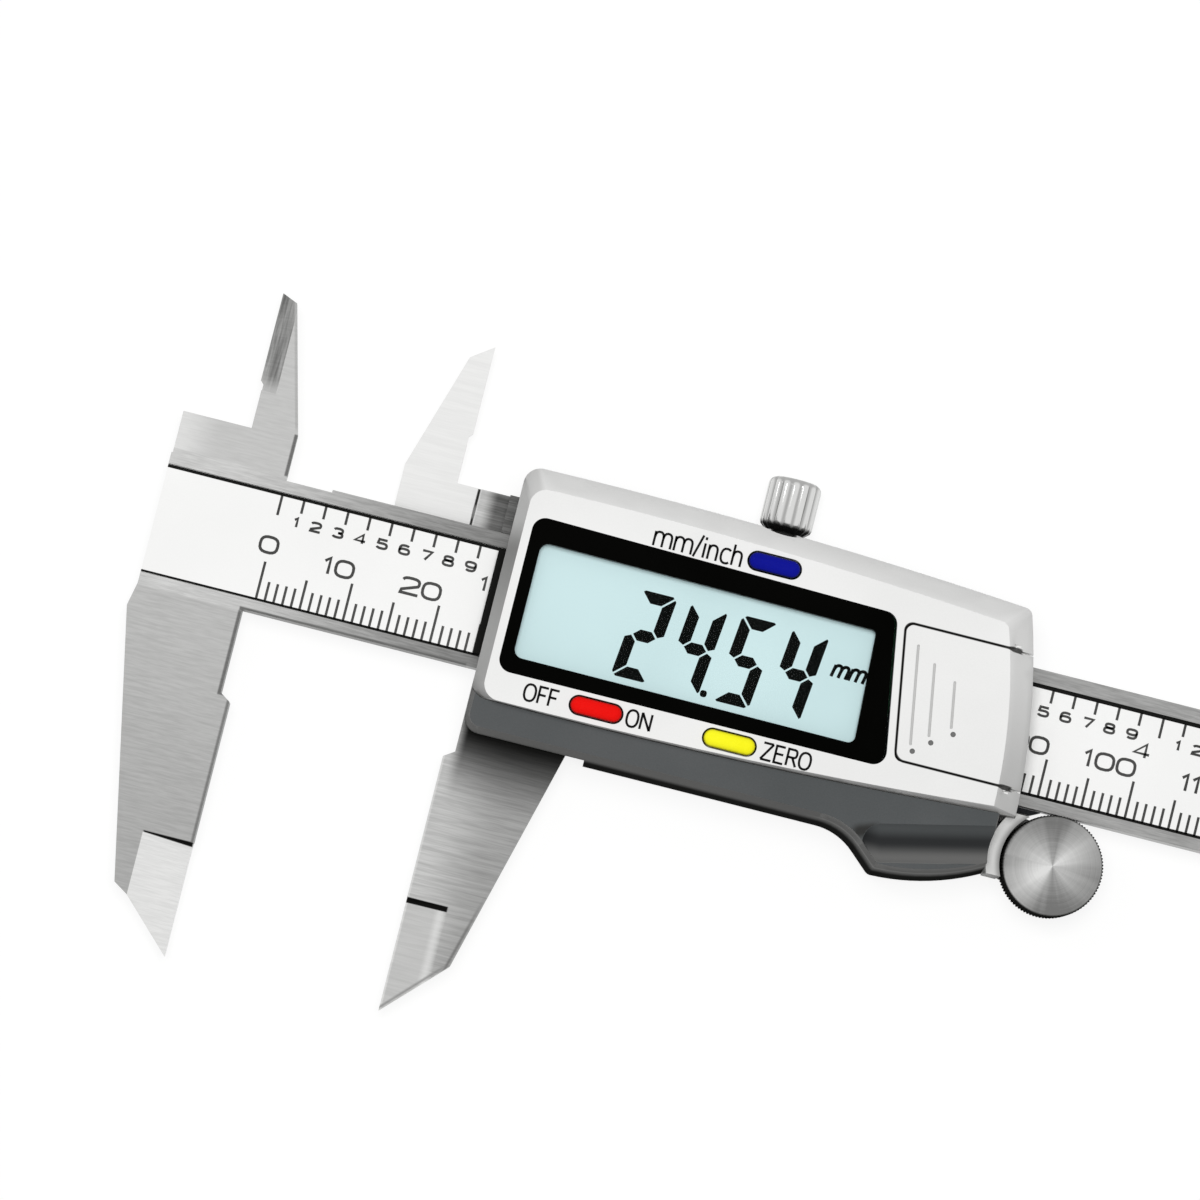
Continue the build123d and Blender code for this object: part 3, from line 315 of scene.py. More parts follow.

# %% [markdown]
# The beam is one piece with the fixed jaws. Its rails are rubbed dull where the slider
# runs, and the head above the scale is bright, with painted light at its left end. The
# tip of the outside jaw is ground to a knife and polished brighter still. A painted
# shadow of the step where the wheel ran out marks its beginning, and gets wider towards
# the measuring face. The bevel of the inside jaw was ground last, across the brushing,
# and its strokes go from dark to bright. Thin dark lines along the edges are painted
# shade.

# %% Steel of the beam
RAIL_Y = 7.9
KNIFE_TOP = -34.3
FIXED_KNIFE = 5.7
BEVEL_EDGE = -3.5
BEVEL_FOOT = 16.6
FLANK_FOOT = 12.7
FLANK_LEAN = math.radians(14.6)
JAW_FACE_TOP = -17.6


def run_out(along, height, depth):
    """The painted shadow of the step where the knife begins; depth is its width at each place along
    it.
    """
    width = between(height, KNIFE_TOP - depth, KNIFE_TOP + 0.03, 0.06)
    return between(along, 0.0, 1.0, 0.02) * width


def beam_regions(place):
    """Rails, head with painted light, fixed jaws, knife, painted step shadow, bevel and painted
    edge shade.
    """
    x, y = along_axis(place, "X"), along_axis(place, "Y")
    rail = soft_step(x, -8.0, reading)
    beyond_slider = soft_step(x, reading + 50, reading + 60)
    head = soft_step(y, RAIL_Y - 0.1, RAIL_Y + 0.1)
    jaw = fade(y, -RAIL_Y - 0.1, -RAIL_Y + 0.1)
    low_jaw = jaw * fade(y, -38.0, -8.0)
    knife = fade(y, KNIFE_TOP - 0.05, KNIFE_TOP) * soft_step(x, -FIXED_KNIFE - 0.05, -FIXED_KNIFE)
    share = (x + FIXED_KNIFE) * (1 / FIXED_KNIFE)
    shade = run_out(share, y, 0.16 + 0.32 * share)
    left_of_bevel = fade(x, BEVEL_EDGE - 0.05, BEVEL_EDGE + 0.05)
    bevel = soft_step(y, BEVEL_FOOT - 0.3, BEVEL_FOOT + 2.2) * left_of_bevel
    strokes = scratches(place.node("CombineXYZ", inputs={0: y * MM, 1: x * MM}), 14.0, 1.1)
    flank = x * math.cos(FLANK_LEAN) + (y - FLANK_FOOT) * math.sin(FLANK_LEAN)
    flank_edge_shade = between(flank, -0.3, 1.0) * soft_step(y, FLANK_FOOT, FLANK_FOOT + 1)
    root_edge_shade = between(x, -0.35, 1.0) * between(y, RAIL_Y, FLANK_FOOT)
    face_edge_line = between(x, -0.3, 1.0) * between(y, KNIFE_TOP, JAW_FACE_TOP)
    relief_edge_shade = between(x, -1.55, 1.0) * between(y, JAW_FACE_TOP, -RAIL_Y)
    rail_edge_shade = between(y, -RAIL_Y, -RAIL_Y + 0.45) * between(x, -1.5, reading)
    return [
        (rail, 122, 152),
        (beyond_slider, 146, 174),
        (head, 188, 199),
        # painted light on the head's left end
        (head * fade(x, -13.0, -8.0), 212, 221),
        (jaw, 176, 192),
        (low_jaw, 161, 178),
        (knife, 217, 231),
        # painted shadow of the knife's step
        (shade, 20, 26),
        (bevel, blend(strokes, 100, 172), blend(strokes, 110, 186)),
        # painted shade along the edges, as thin dark lines
        (flank_edge_shade, 172, 182),
        (root_edge_shade, 104, 120),
        (face_edge_line, 120, 132),
        (relief_edge_shade, 104, 120),
        (rail_edge_shade, 100, 116),
    ]


beam_steel = brushed_steel("beam_steel", grey(186), grey(210), beam_regions, length=4.0)
print("finishes so far:", len(bpy.data.materials))

# %% [markdown]
# The slider's frame carries the moving jaws. Its outside jaw shows longer and stronger
# scratches than the fixed one, and a painted shadow of the body lies in its corner below
# the body. Its inside jaw and its arm are painted brightest, as a painted highlight. The
# arm ends in a groove beside the housing, painted dark as shade, and gets darker from
# there on, with painted shade of the housing. Its knife's step has a painted shadow, its
# edges have painted shade, and a paler line runs along its measuring face.

# %% Steel of the slider
MOVING_KNIFE = 4.7
SHOULDER = (6.5, -40.6)
BACK_SLOPE = 0.2725
CUT_SLOPE = 1.03
ARM_GROOVE = reading - 3.4


def inside_edge(ahead, aside, slope):
    """How far a place lies inside a straight edge that slopes."""
    return (ahead + slope * aside) * math.cos(math.atan(slope))


def slider_regions(place):
    """Moving jaws with painted light and shade: shadow below the body, lit arm, groove, knife step
    and edges.
    """
    x, y = along_axis(place, "X"), along_axis(place, "Y")
    from_face = x - reading
    # painted highlight on the arm and inside jaw; painted shade of the housing beyond the groove
    arm = soft_step(y, 7.5, 7.7)
    arm_shade = arm * soft_step(x, ARM_GROOVE, ARM_GROOVE + 0.4)
    arm_deep_shade = arm * soft_step(x, ARM_GROOVE + 0.7, ARM_GROOVE + 2.4)
    # painted shade in the groove, lighter in its middle
    groove = arm * between(x, ARM_GROOVE - 0.14, ARM_GROOVE + 0.14, 0.05)
    groove_middle = groove * between(y, 8.7, 10.1, 0.3)
    # painted shadow of the body on the outside jaw's corner
    corner = (1 - arm) * fade(-y, 14.5, 24.0) * soft_step(from_face, 0.5, 2.2)
    beside_ridge = fade(from_face, MOVING_KNIFE - 0.8, MOVING_KNIFE + 0.1)
    knife = fade(y, KNIFE_TOP - 0.05, KNIFE_TOP) * beside_ridge
    ridge = fade(y, KNIFE_TOP - 0.4, KNIFE_TOP) * between(from_face, 3.6, 4.4, 0.4)
    # painted shadow of the knife's step
    shade = run_out(1 - from_face * (1 / MOVING_KNIFE), y, 0.6)
    # a paler line along the measuring face; painted shade along the jaw's back and cut edges
    face_edge_line = (1 - arm) * between(from_face, -1.0, 0.2)
    before_shoulder, above_shoulder = SHOULDER[0] - from_face, y - SHOULDER[1]
    off_back = inside_edge(before_shoulder, above_shoulder, BACK_SLOPE)
    off_cut = inside_edge(above_shoulder, before_shoulder, CUT_SLOPE)
    back_edge_shade = between(off_back, 0.2, 0.5, 0.15) * fade(y, -37.0, -31.0)
    cut_edge_shade = between(off_cut, 0.15, 0.4, 0.15) * fade(y, -41.2, -40.4)
    return [
        (soft_step(from_face, 0.5, 8.0), 146, 170),
        (corner, 20, 28),
        (arm, 229, 236),
        (arm_shade, 178, 212),
        (arm_deep_shade, 84, 128),
        (groove, 50, 56),
        (groove_middle, 132, 144),
        (knife, 181, 193),
        (ridge, 200, 210),
        (face_edge_line, 204, 216),
        (back_edge_shade, 118, 128),
        (cut_edge_shade, 140, 150),
        (shade, 16, 20),
    ]


slider_steel = brushed_steel(
    "slider_steel", grey(176), grey(204), slider_regions, length=9.0, width=0.45
)
print("finishes so far:", len(bpy.data.materials))

# %% [markdown]
# ## Small metal parts
#
# Screws and axle are turned on a lathe, which leaves rings round their own axis, and
# the battery's can is drawn from sheet. From a hand's distance only a soft, uneven gloss
# is left of either, so a fine noise does. Brass has another colour and a little less
# gloss, and blued steel is nearly black. One function makes all of these.


# %% Plain metals
def plain_metal(name, dark, light, roughness):
    """Metal with a fine, uneven gloss."""
    material, shader, start = new_finish(name, Metallic=1.0)
    grain = soft_step(noise(place_on(start), (3.0, 3.0, 3.0)), 0.3, 0.7)
    plug(shader.inputs["Base Color"], blend(grain, dark, light))
    plug(shader.inputs["Roughness"], roughness + 0.1 * grain)
    return material


bright_steel = plain_metal("bright_steel", chart(196, 197, 198), chart(226, 227, 228), 0.2)
blued_steel = plain_metal("blued_steel", chart(28, 29, 31), chart(44, 45, 48), 0.32)
brass = plain_metal("brass", chart(196, 164, 96), chart(222, 190, 120), 0.3)
print("finishes so far:", len(bpy.data.materials))

# %% [markdown]
# ## Moulded and painted parts
#
# The front cover is plastic with a silver-white lacquer, the lower body is bare grey
# plastic with a fine sparked grain, and the buttons are glossy and coloured through.
# All of them are one recipe with other numbers: a base colour that drifts a little, and
# a grain that feeds both the roughness and the bump. Plastic mirrors the white studio
# faintly, which would turn black into grey and wash out the other tones, so most of
# them get little gloss or none.


# %% Plastics
def plastic(name, dark, light, roughness, grain_depth, gloss=0.5, grains=6.0, regions=None):
    """Plastic or lacquer with a slight drift of colour and a fine grain."""
    material, shader, start = new_finish(name, Specular_IOR_Level=gloss)
    place = place_on(start)
    grain = noise(place, (grains, grains, grains))
    drift = soft_step(noise(place, (0.06, 0.06, 0.06)) * 0.7 + grain * 0.3, 0.3, 0.7)
    layers = regions(place) if regions else ()
    plug(shader.inputs["Base Color"], paint(blend(drift, dark, light), drift, layers))
    plug(shader.inputs["Roughness"], roughness + 0.08 * grain)
    plug(shader.inputs["Normal"], bump(grain, grain_depth))
    return material


silver = plastic("silver_lacquer", grey(233), grey(240), 0.34, 0.002, gloss=0.01)
black = plastic("black_plastic", grey(16), grey(24), 0.4, 0.006, gloss=0.1)
rubber = plastic("rubber", grey(14), grey(22), 0.7, 0.01, gloss=0.1)
board = plastic("board", chart(26, 84, 48), chart(36, 98, 58), 0.45, 0.004)
label_white = plastic("label_white", grey(244), grey(249), 0.42, 0.001, gloss=0.2)
print("finishes so far:", len(bpy.data.materials))

# %% [markdown]
# The two covers share one lacquer. Their sloping ends face away from the light and
# mirror the steel beside them, so that shade and reflection are painted into the lacquer
# there. The seam of the battery cover and its three grip lines get painted shade, most
# of all the dot below each of them. The finish finds lines and dots by their depth, and
# the dots by a slanting border below the lines. It finds the seam by measuring how far a
# place lies from a rounded rectangle, which is sheared like the cover itself. The
# rectangle reaches far past the cover on the right, because the seam is open there.

# %% Lacquer of the covers
cover_high = box_mm("front_cover")[1]
COVER_LEAN = math.tan(math.radians(9.3))
COVER_CORNER = 1.0
COVER_LEFT = 47.45
SEAM_TOP, SEAM_FOOT = 8.45, -6.65
FAR_RIGHT = 25.0
DOTS_FROM = (49.83, -5.0)
DOTS_SLOPE = 0.74


def outline_distance(across, up, half_across, half_up, radius):
    """How far a place lies outside a rounded rectangle; negative inside it."""
    past_x = abs(across) - (half_across - radius)
    past_y = abs(up) - (half_up - radius)
    beyond_corner = from_centre(past_x.larger(0), past_y.larger(0))
    return beyond_corner + past_x.larger(past_y).smaller(0) - radius


def cover_regions(place):
    """Sloping ends, seam of the battery cover and its grip lines with their dots."""
    x, y, z = (along_axis(place, axis) for axis in "XYZ")
    from_face = x - reading
    sideways = facing(place, "X")
    # painted shade and reflection on the sloping ends
    end = soft_step(abs(sideways), 0.15, 0.4)
    right = soft_step(from_face, 20.0, 40.0)
    higher = soft_step(y, -7.0, 7.0)
    left_tone = blend(higher, 195, 155)
    left_tone = blend(soft_step(y, 5.5, 9.5), left_tone, 214)
    sheared = from_face + COVER_LEAN * y - COVER_LEFT
    distance = outline_distance(
        sheared - FAR_RIGHT / 2, y - (SEAM_TOP + SEAM_FOOT) / 2,
        FAR_RIGHT / 2, (SEAM_TOP - SEAM_FOOT) / 2, COVER_CORNER,
    )
    # painted shade along the seam, and in the grip lines with their dots
    half_seam = 0.15 + 0.14 * soft_step(sheared, 11.6, 12.4)
    off_seam = abs(distance) - half_seam
    seam = fade(off_seam, -0.05, 0.05) * fade(sheared, 13.2, 13.6)
    carved = soft_step(cover_high.z - z, 0.04, 0.08) * fade(distance, -0.5, -0.4)
    carved = carved * fade(sheared, 8.5, 9.0)
    above_dots = y - DOTS_FROM[1] - DOTS_SLOPE * (from_face - DOTS_FROM[0])
    dots = fade(above_dots, -0.1, 0.1)
    return [
        (end * (1 - right), left_tone, left_tone),
        (end * right, blend(higher, 204, 229), blend(higher, 208, 232)),
        (seam, 76, 84),
        (carved, 192, 198),
        (carved * dots, 116, 122),
    ]


cover_lacquer = plastic(
    "cover_lacquer", grey(233), grey(240), 0.34, 0.002, gloss=0.01, regions=cover_regions
)
print("finishes so far:", len(bpy.data.materials))

# %% [markdown]
# The lower body is moulded in one dark grey. Its steep sides get little light here, so
# their colour is lifted, and only their foot is painted dark, as shade. A painted
# highlight runs as a paler line round the edge of its front, and along the line where the
# halves of the mould met beside the thumb. The hollow for the thumb has painted shade,
# darkest in its middle, and painted light on its lower wall. A band of painted shade
# leads into the hollow from the left. The direction of the surface tells front, edge,
# side and hollow apart.

# %% Lower body
BODY_FRONT = box_mm("lower_body")[1].z
HOLLOW_Y = -14.4
HOLLOW_LEFT = 49.0


def body_regions(place):
    """Painted light and shade: lifted sides, lit mould line, shaded foot, lit edge, hollow and the
    shade beside it.
    """
    x, y, z = (along_axis(place, axis) for axis in "XYZ")
    up, far = facing(place, "Z"), facing(place, "Y")
    from_face = x - reading
    # lifted steep sides, with a painted highlight on the mould line and painted shade at the foot
    side = fade(abs(up), 0.2, 0.5)
    foot = fade(z, 3.2, 6.2)
    thumb_rest = soft_step(from_face, 40.0, 44.0)
    line = thumb_rest * between(z, 6.2, 6.8, 0.3)
    beside_hollow = soft_step(from_face, 46.5, 47.0) * soft_step(y, -16.5, -16.0)
    # painted highlight along the front edge
    edge = between(up, 0.4, 0.93, 0.05) * (1 - beside_hollow)
    # painted shade in the hollow, with painted light on its lower wall
    hollow = soft_step(BODY_FRONT - z, 0.03, 0.15) * soft_step(up, 0.35, 0.45)
    upper_wall = soft_step(-far, 0.15, 0.8)
    lower_wall = soft_step(far, -0.05, 0.7)
    hollow_tone = blend(lower_wall, blend(upper_wall, chart(48, 49, 50), chart(90, 93, 94)), 112)
    # painted shade leading into the hollow from the left
    left_of = (HOLLOW_LEFT - from_face).larger(0)
    shade_left_of_hollow = between(y - HOLLOW_Y + 0.35 * left_of, -0.7, 0.7, 0.5)
    shade_left_of_hollow = shade_left_of_hollow * between(from_face, 46.0, HOLLOW_LEFT - 0.5, 0.6) * soft_step(up, 0.9, 0.98)
    return [
        (side, 158, 164),
        (side * line, 186, 192),
        (side * foot, 50, 54),
        (edge, 116, 122),
        (hollow, hollow_tone, hollow_tone),
        (shade_left_of_hollow, 52, 56),
    ]


grey_body = plastic(
    "grey_body", chart(81, 84, 85), chart(91, 93, 94), 0.42, 0.006, gloss=0.0,
    regions=body_regions,
)
print("finishes so far:", len(bpy.data.materials))

# %% [markdown]
# The gloss parts get a smoother skin. A button's colour is painted darker where its dome
# turns away from the light, a painted shade which rounds it off. The border of the window
# is printed in black behind the acrylic. The printing inks are matt. The ink of the
# scale's marks is a dark grey, and that of the lines and words is nearly black.

# %% Gloss and ink
def button_plastic(name, dome_shade, dark, light):
    """Glossy plastic with painted shade on the sides of the dome."""
    # painted shade on the sides of the dome
    def dome_side(place):
        return [(fade(facing(place, "Z"), 0.3, 0.85), dome_shade, dome_shade)]

    return plastic(name, dark, light, 0.2, 0.0, gloss=0.05, regions=dome_side)


blue_gloss = button_plastic("blue_button", chart(4, 6, 58), chart(8, 13, 118), chart(14, 20, 146))
red_gloss = button_plastic("red_button", chart(136, 8, 6), chart(228, 14, 10), chart(242, 22, 18))
yellow_gloss = button_plastic(
    "yellow_button", chart(176, 168, 10), chart(248, 242, 24), chart(255, 252, 44)
)
border_black = plastic("border_black", grey(2), grey(5), 0.12, 0.0, gloss=0.01)
scale_ink = plastic("scale_ink", grey(62), grey(82), 0.6, 0.002, gloss=0.1)
line_ink = plastic("line_ink", grey(8), grey(16), 0.5, 0.002, gloss=0.1)
print("finishes so far:", len(bpy.data.materials))

# %% [markdown]
# A liquid crystal display without its own light shows the pale green-blue of its
# reflector. The reflector is a fine foil, so a fine noise gives it a slight sparkle.
# The clear window over it is almost nothing: a plain shader with a low, constant
# alpha, which every viewer understands.

# %% Display finishes
lcd_face = plastic(
    "lcd_face", chart(210, 237, 239), chart(218, 245, 247), 0.5, 0.0, gloss=0.0, grains=12.0
)
segment_ink = plastic("segment_ink", grey(3), grey(7), 0.5, 0.0, gloss=0.01)
window_clear, window_shader, _ = new_finish(
    "window_clear", Base_Color=chart(60, 70, 70), Roughness=0.08, Alpha=0.03
)
print("the window lets through", round(1 - window_shader.inputs["Alpha"].default_value, 2))

# %% [markdown]
# ## Finishes onto the solids
#
# The record names a material slot for every CAD node. Most solids take the finish of
# their slot, and the few that show a region of their own, such as the beam with its
# ground jaw tips, are named one by one. Assigning a material is allowed on a CAD
# node, moving it or editing its mesh is not.

# %% Dress the CAD nodes
slot_finishes = {
    "satin_steel": steel,
    "polished_steel": bright_steel,
    "black_steel": blued_steel,
    "brass": brass,
    "white_film": label_white,
    "silver_plastic": silver,
    "grey_plastic": grey_body,
    "black_plastic": black,
    "clear_window": window_clear,
    "lcd_glass": lcd_face,
    "rubber": rubber,
    "board": board,
    "blue_plastic": blue_gloss,
    "red_plastic": red_gloss,
    "yellow_plastic": yellow_gloss,
}
own_finishes = {
    "beam": beam_steel,
    "slider_frame": slider_steel,
    "front_cover": cover_lacquer,
    "battery_cover": cover_lacquer,
}

for part in frame["record"]["subparts"]:
    finish = own_finishes.get(part["node"], slot_finishes[part["material_slot"]])
    nodes[part["node"]].data.materials.clear()
    nodes[part["node"]].data.materials.append(finish)

# %% [markdown]
# Real edges are never razor sharp: a moulding has a small radius and a ground part is
# deburred. A broken edge catches a line of light, and that line is much of what makes
# an object look real. A Weld modifier joins the faces of the CAD mesh and a Bevel
# modifier then breaks its sharp edges, while the mesh itself stays as it was.


# %% Break the edges
def break_edges(node, width, segments=2):
    """Round the sharp edges of a CAD solid by a hair's width."""
    weld = nodes[node].modifiers.new("weld", "WELD")
    weld.merge_threshold = 0.002 * MM
    bevel = nodes[node].modifiers.new("broken_edges", "BEVEL")
    bevel.width = width * MM
    bevel.segments = segments
    bevel.limit_method = "ANGLE"
    bevel.angle_limit = math.radians(35)
    bevel.miter_outer = "MITER_ARC"


for node, width in {
    "front_cover": 0.12,
    "battery_cover": 0.06,
    "lower_body": 0.18,
    "beam": 0.08,
    "slider_frame": 0.08,
    "back_plate": 0.1,
    "roller_bracket": 0.12,
    "end_stop": 0.1,
    "depth_rod": 0.08,
}.items():
    break_edges(node, width)
print("edges broken on", sum(bool(node.modifiers) for node in nodes.values()), "nodes")

# %% [markdown]
# ## Making meshes
#
# Every piece that is added from here on is a closed mesh, made from points and faces.
# One helper turns them into a piece: it points all faces outwards, shades what is
# round as round and what is sharp as sharp, and lets the piece ride on its body.


# %% Make a piece
def add_piece(name, points, faces, body, finish, slot):
    """A mesh piece from points in millimetres, riding on a CAD body."""
    mesh = bpy.data.meshes.new(name)
    mesh.from_pydata([Vector(point) * MM for point in points], [], faces)
    work = bmesh.new()
    work.from_mesh(mesh)
    bmesh.ops.recalc_face_normals(work, faces=work.faces)
    work.to_mesh(mesh)
    work.free()
    mesh.polygons.foreach_set("use_smooth", [True] * len(mesh.polygons))
    mesh.set_sharp_from_angle(angle=math.radians(35))
    mesh.materials.append(finish)
    piece = bpy.data.objects.new(name, mesh)
    bpy.context.scene.collection.objects.link(piece)
    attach(piece, body)
    print(name, "has", len(mesh.polygons), "faces")
    return piece


# %% [markdown]
# Print is modelled as thin plates that stand three hundredths of a millimetre proud,
# like a real screen print. A plate is an outline with a top and a bottom. A stroke is
# a path drawn with a nib of some width: at each point the two edges step out along the
# mean of the neighbouring directions, which keeps the stroke equally wide in a bend.


# %% Plates and strokes
PRINT_HEIGHT = 0.03
SUNK = 0.01


class Print:
    """Gathers the plates and strokes that lie on one surface into one mesh."""

    def __init__(self, surface):
        self.bottom = surface - SUNK
        self.top = surface + PRINT_HEIGHT
        self.points = []
        self.faces = []

    def walls(self, count, first_top, first_bottom, closed=True):
        """Side faces between a run of top points and the bottom points under it."""
        for here in range(count if closed else count - 1):
            after = (here + 1) % count
            self.faces.append(
                (first_top + here, first_top + after, first_bottom + after, first_bottom + here)
            )

    def plate(self, outline):
        """A flat plate with this outline."""
        first, count = len(self.points), len(outline)
        self.points += [(x, y, self.top) for x, y in outline]
        self.points += [(x, y, self.bottom) for x, y in outline]
        self.faces.append(tuple(range(first, first + count)))
        self.faces.append(tuple(range(first + 2 * count - 1, first + count - 1, -1)))
        self.walls(count, first, first + count)

    def stroke(self, path, width):
        """A line of this width along a path, closed where the path ends at its start."""
        closed = math.dist(path[0], path[-1]) < width / 10
        path = [Vector(point) for point in (path[:-1] if closed else path)]
        left, right = [], []
        for index, point in enumerate(path):
            before = path[index - 1] if closed or index else point
            after = path[(index + 1) % len(path)] if closed or index + 1 < len(path) else point
            arrive = (point - before).normalized() if before != point else None
            leave = (after - point).normalized() if after != point else None
            arrive, leave = arrive or leave, leave or arrive
            mean = (arrive + leave).normalized()
            reach = width / 2 / max(mean.dot(arrive), 0.6)
            side = Vector((-mean.y, mean.x)) * reach
            left.append(point + side)
            right.append(point - side)
        self.band(left, right, closed)

    def band(self, left, right, closed):
        """A closed solid between two edges with equally many points."""
        first, count = len(self.points), len(left)
        for edge, height in (
            (left, self.top), (right, self.top), (left, self.bottom), (right, self.bottom),
        ):
            self.points += [(x, y, height) for x, y in edge]
        top_left, top_right, low_left, low_right = (first + count * row for row in range(4))
        self.walls(count, top_left, top_right, closed)
        self.walls(count, low_right, low_left, closed)
        self.walls(count, top_right, low_right, closed)
        self.walls(count, low_left, top_left, closed)
        if not closed:
            for end in (0, count - 1):
                self.faces.append(
                    (top_left + end, top_right + end, low_right + end, low_left + end)
                )

    def piece(self, name, body, finish, slot):
        """Everything gathered so far, as one piece."""
        return add_piece(name, self.points, self.faces, body, finish, slot)


# %% [markdown]
# ## The figures of the scale
#
# Scales have figures of even strokes, wide and squarish, so that they stay legible
# when they are small. Each figure is a few paths in a box of height 1. Their
# bowls are superellipses: an ellipse whose cosine and sine are raised to a power
# below 1 bulges towards its corners.


# %% Figures
def oval(centre_x, centre_y, half_width, half_height, start=0, stop=360, square=0.72):
    """A squarish arc between two angles, in degrees."""
    steps = max(3, round(abs(stop - start) / 20))
    path = []
    for step in range(steps + 1):
        angle = math.radians(start + (stop - start) * step / steps)
        across, up = math.cos(angle), math.sin(angle)
        path.append(
            (
                centre_x + half_width * math.copysign(abs(across) ** square, across),
                centre_y + half_height * math.copysign(abs(up) ** square, up),
            )
        )
    return path


six = [oval(0.6, 0.5, 0.5, 0.44, 45, 180) + [(0.1, 0.32)], oval(0.6, 0.32, 0.5, 0.26)]
nine = [[(1.2 - x, 1 - y) for x, y in path] for path in six]
FIGURES = {
    "0": (1.22, [oval(0.56, 0.5, 0.5, 0.44)]),
    "1": (0.62, [[(0.02, 0.72), (0.3, 0.94), (0.3, 0.03)]]),
    "2": (
        1.22,
        [oval(0.56, 0.7, 0.48, 0.24, 165, -30) + [(0.12, 0.24), (0.08, 0.06), (1.08, 0.06)]],
    ),
    "3": (
        1.18,
        [oval(0.54, 0.72, 0.44, 0.22, 165, -90), oval(0.54, 0.28, 0.48, 0.22, 90, -165)],
    ),
    "4": (1.2, [[(1.12, 0.28), (0.06, 0.28), (0.84, 0.96), (0.84, 0.03)]]),
    "5": (
        1.2,
        [[(1.02, 0.94), (0.18, 0.94), (0.12, 0.58)] + oval(0.56, 0.32, 0.5, 0.26, 120, -165)],
    ),
    "6": (1.22, six),
    "7": (1.14, [[(0.06, 0.94), (1.04, 0.94), (0.42, 0.03)]]),
    "8": (1.2, [oval(0.56, 0.74, 0.42, 0.2), oval(0.56, 0.28, 0.5, 0.24)]),
    "9": (1.22, nine),
}


def write(print_on, text, font, x, y, height, nib, align=0.0):
    """Draw a text with its foot on y; align 0 starts at x, 0.5 centres and 1 ends there."""
    x -= align * height * sum(font[sign][0] for sign in text)
    for sign in text:
        advance, paths = font[sign]
        for path in paths:
            print_on.stroke([(x + height * px, y + height * py) for px, py in path], nib)
        x += height * advance


print("figures drawn:", "".join(FIGURES))

# %% [markdown]
# ## The scale
#
# The white label carries two scales. Millimetres stand on its lower edge, with longer
# marks at every 5 and 10 and a figure left of every tenth mark; only the zero stands
# above its mark. Inches hang from its upper edge, ten marks to the inch, with small
# figures between and a larger one at each whole inch. Loops lay them out, because a
# scale is nothing but repetition, and their zero is the origin of the caliper's frame.

# %% Marks and numbers
MEASURING_RANGE = 150
INCH = 25.4
TICK = 0.29
MM_TICKS = {10: 4.3, 5: 3.4, 1: 2.2}
MM_FIGURE_UP = 4.62
WHOLE_INCH_TICK, TENTH_TICK = -2.3, -1.5
MM_FIGURE = {"height": 2.0, "nib": 0.33, "align": 1.0}
WHOLE_INCH_FIGURE = {"height": 1.65, "nib": 0.3, "align": 1.0}
TENTH_FIGURE = {"height": 1.1, "nib": 0.28, "align": 1.0}

label_low, label_high = box_mm("scale_label")
scale = Print(label_high.z)


def tick(x, foot, length, width=TICK):
    """One mark across the label; a negative length hangs down."""
    scale.stroke([(x, foot), (x, foot + length)], width)


mm_foot = label_low.y + 0.12
for millimetre in range(MEASURING_RANGE + 4):
    step = next(every for every in MM_TICKS if millimetre % every == 0)
    tick(millimetre, mm_foot, MM_TICKS[step])
    if millimetre % 10 == 0:
        raised = 0.6 if millimetre == 0 else 0.0
        indent = 1.25 if millimetre == 0 else 0.1
        foot = mm_foot + MM_FIGURE_UP + raised
        write(scale, str(millimetre), FIGURES, millimetre + indent, foot, **MM_FIGURE)

inch_top = label_high.y - 0.3
for tenth in range(int(MEASURING_RANGE / INCH * 10) + 2):
    x = tenth * INCH / 10
    whole = tenth % 10 == 0
    tick(x, inch_top, WHOLE_INCH_TICK if whole else TENTH_TICK)
    if whole and tenth:
        write(scale, str(tenth // 10), FIGURES, x - 0.5, inch_top - 4.9, **WHOLE_INCH_FIGURE)
    elif not whole:
        write(scale, str(tenth % 10), FIGURES, x + 0.15, inch_top - 3.13, **TENTH_FIGURE)

scale.piece("scale_marks", "beam", scale_ink, "black_plastic")

# %% [markdown]
# A bold line borders the label along its upper edge and a finer one along its lower
# edge. They run the whole length of the beam, also over the head, and get a little
# bolder towards the far end.

# %% Border lines of the scale
edge_lines = Print(label_high.z)
for y, left_width, right_width in (
    (label_high.y - 0.2, 0.36, 0.5),
    (label_low.y + 0.12, 0.22, 0.5),
):
    left, right = left_width / 2, right_width / 2
    edge_lines.plate([
        (label_low.x, y - left), (label_high.x, y - right),
        (label_high.x, y + right), (label_low.x, y + left),
    ])
edge_lines.piece("scale_edge_lines", "beam", line_ink, "black_plastic")

# %% [markdown]
# ## The lettering of the cover
#
# The words beside the buttons say what the buttons do. They are printed in a plain,
# upright letter with thin strokes. The same stroke helper draws them, and the buttons'
# own boxes say where they go.

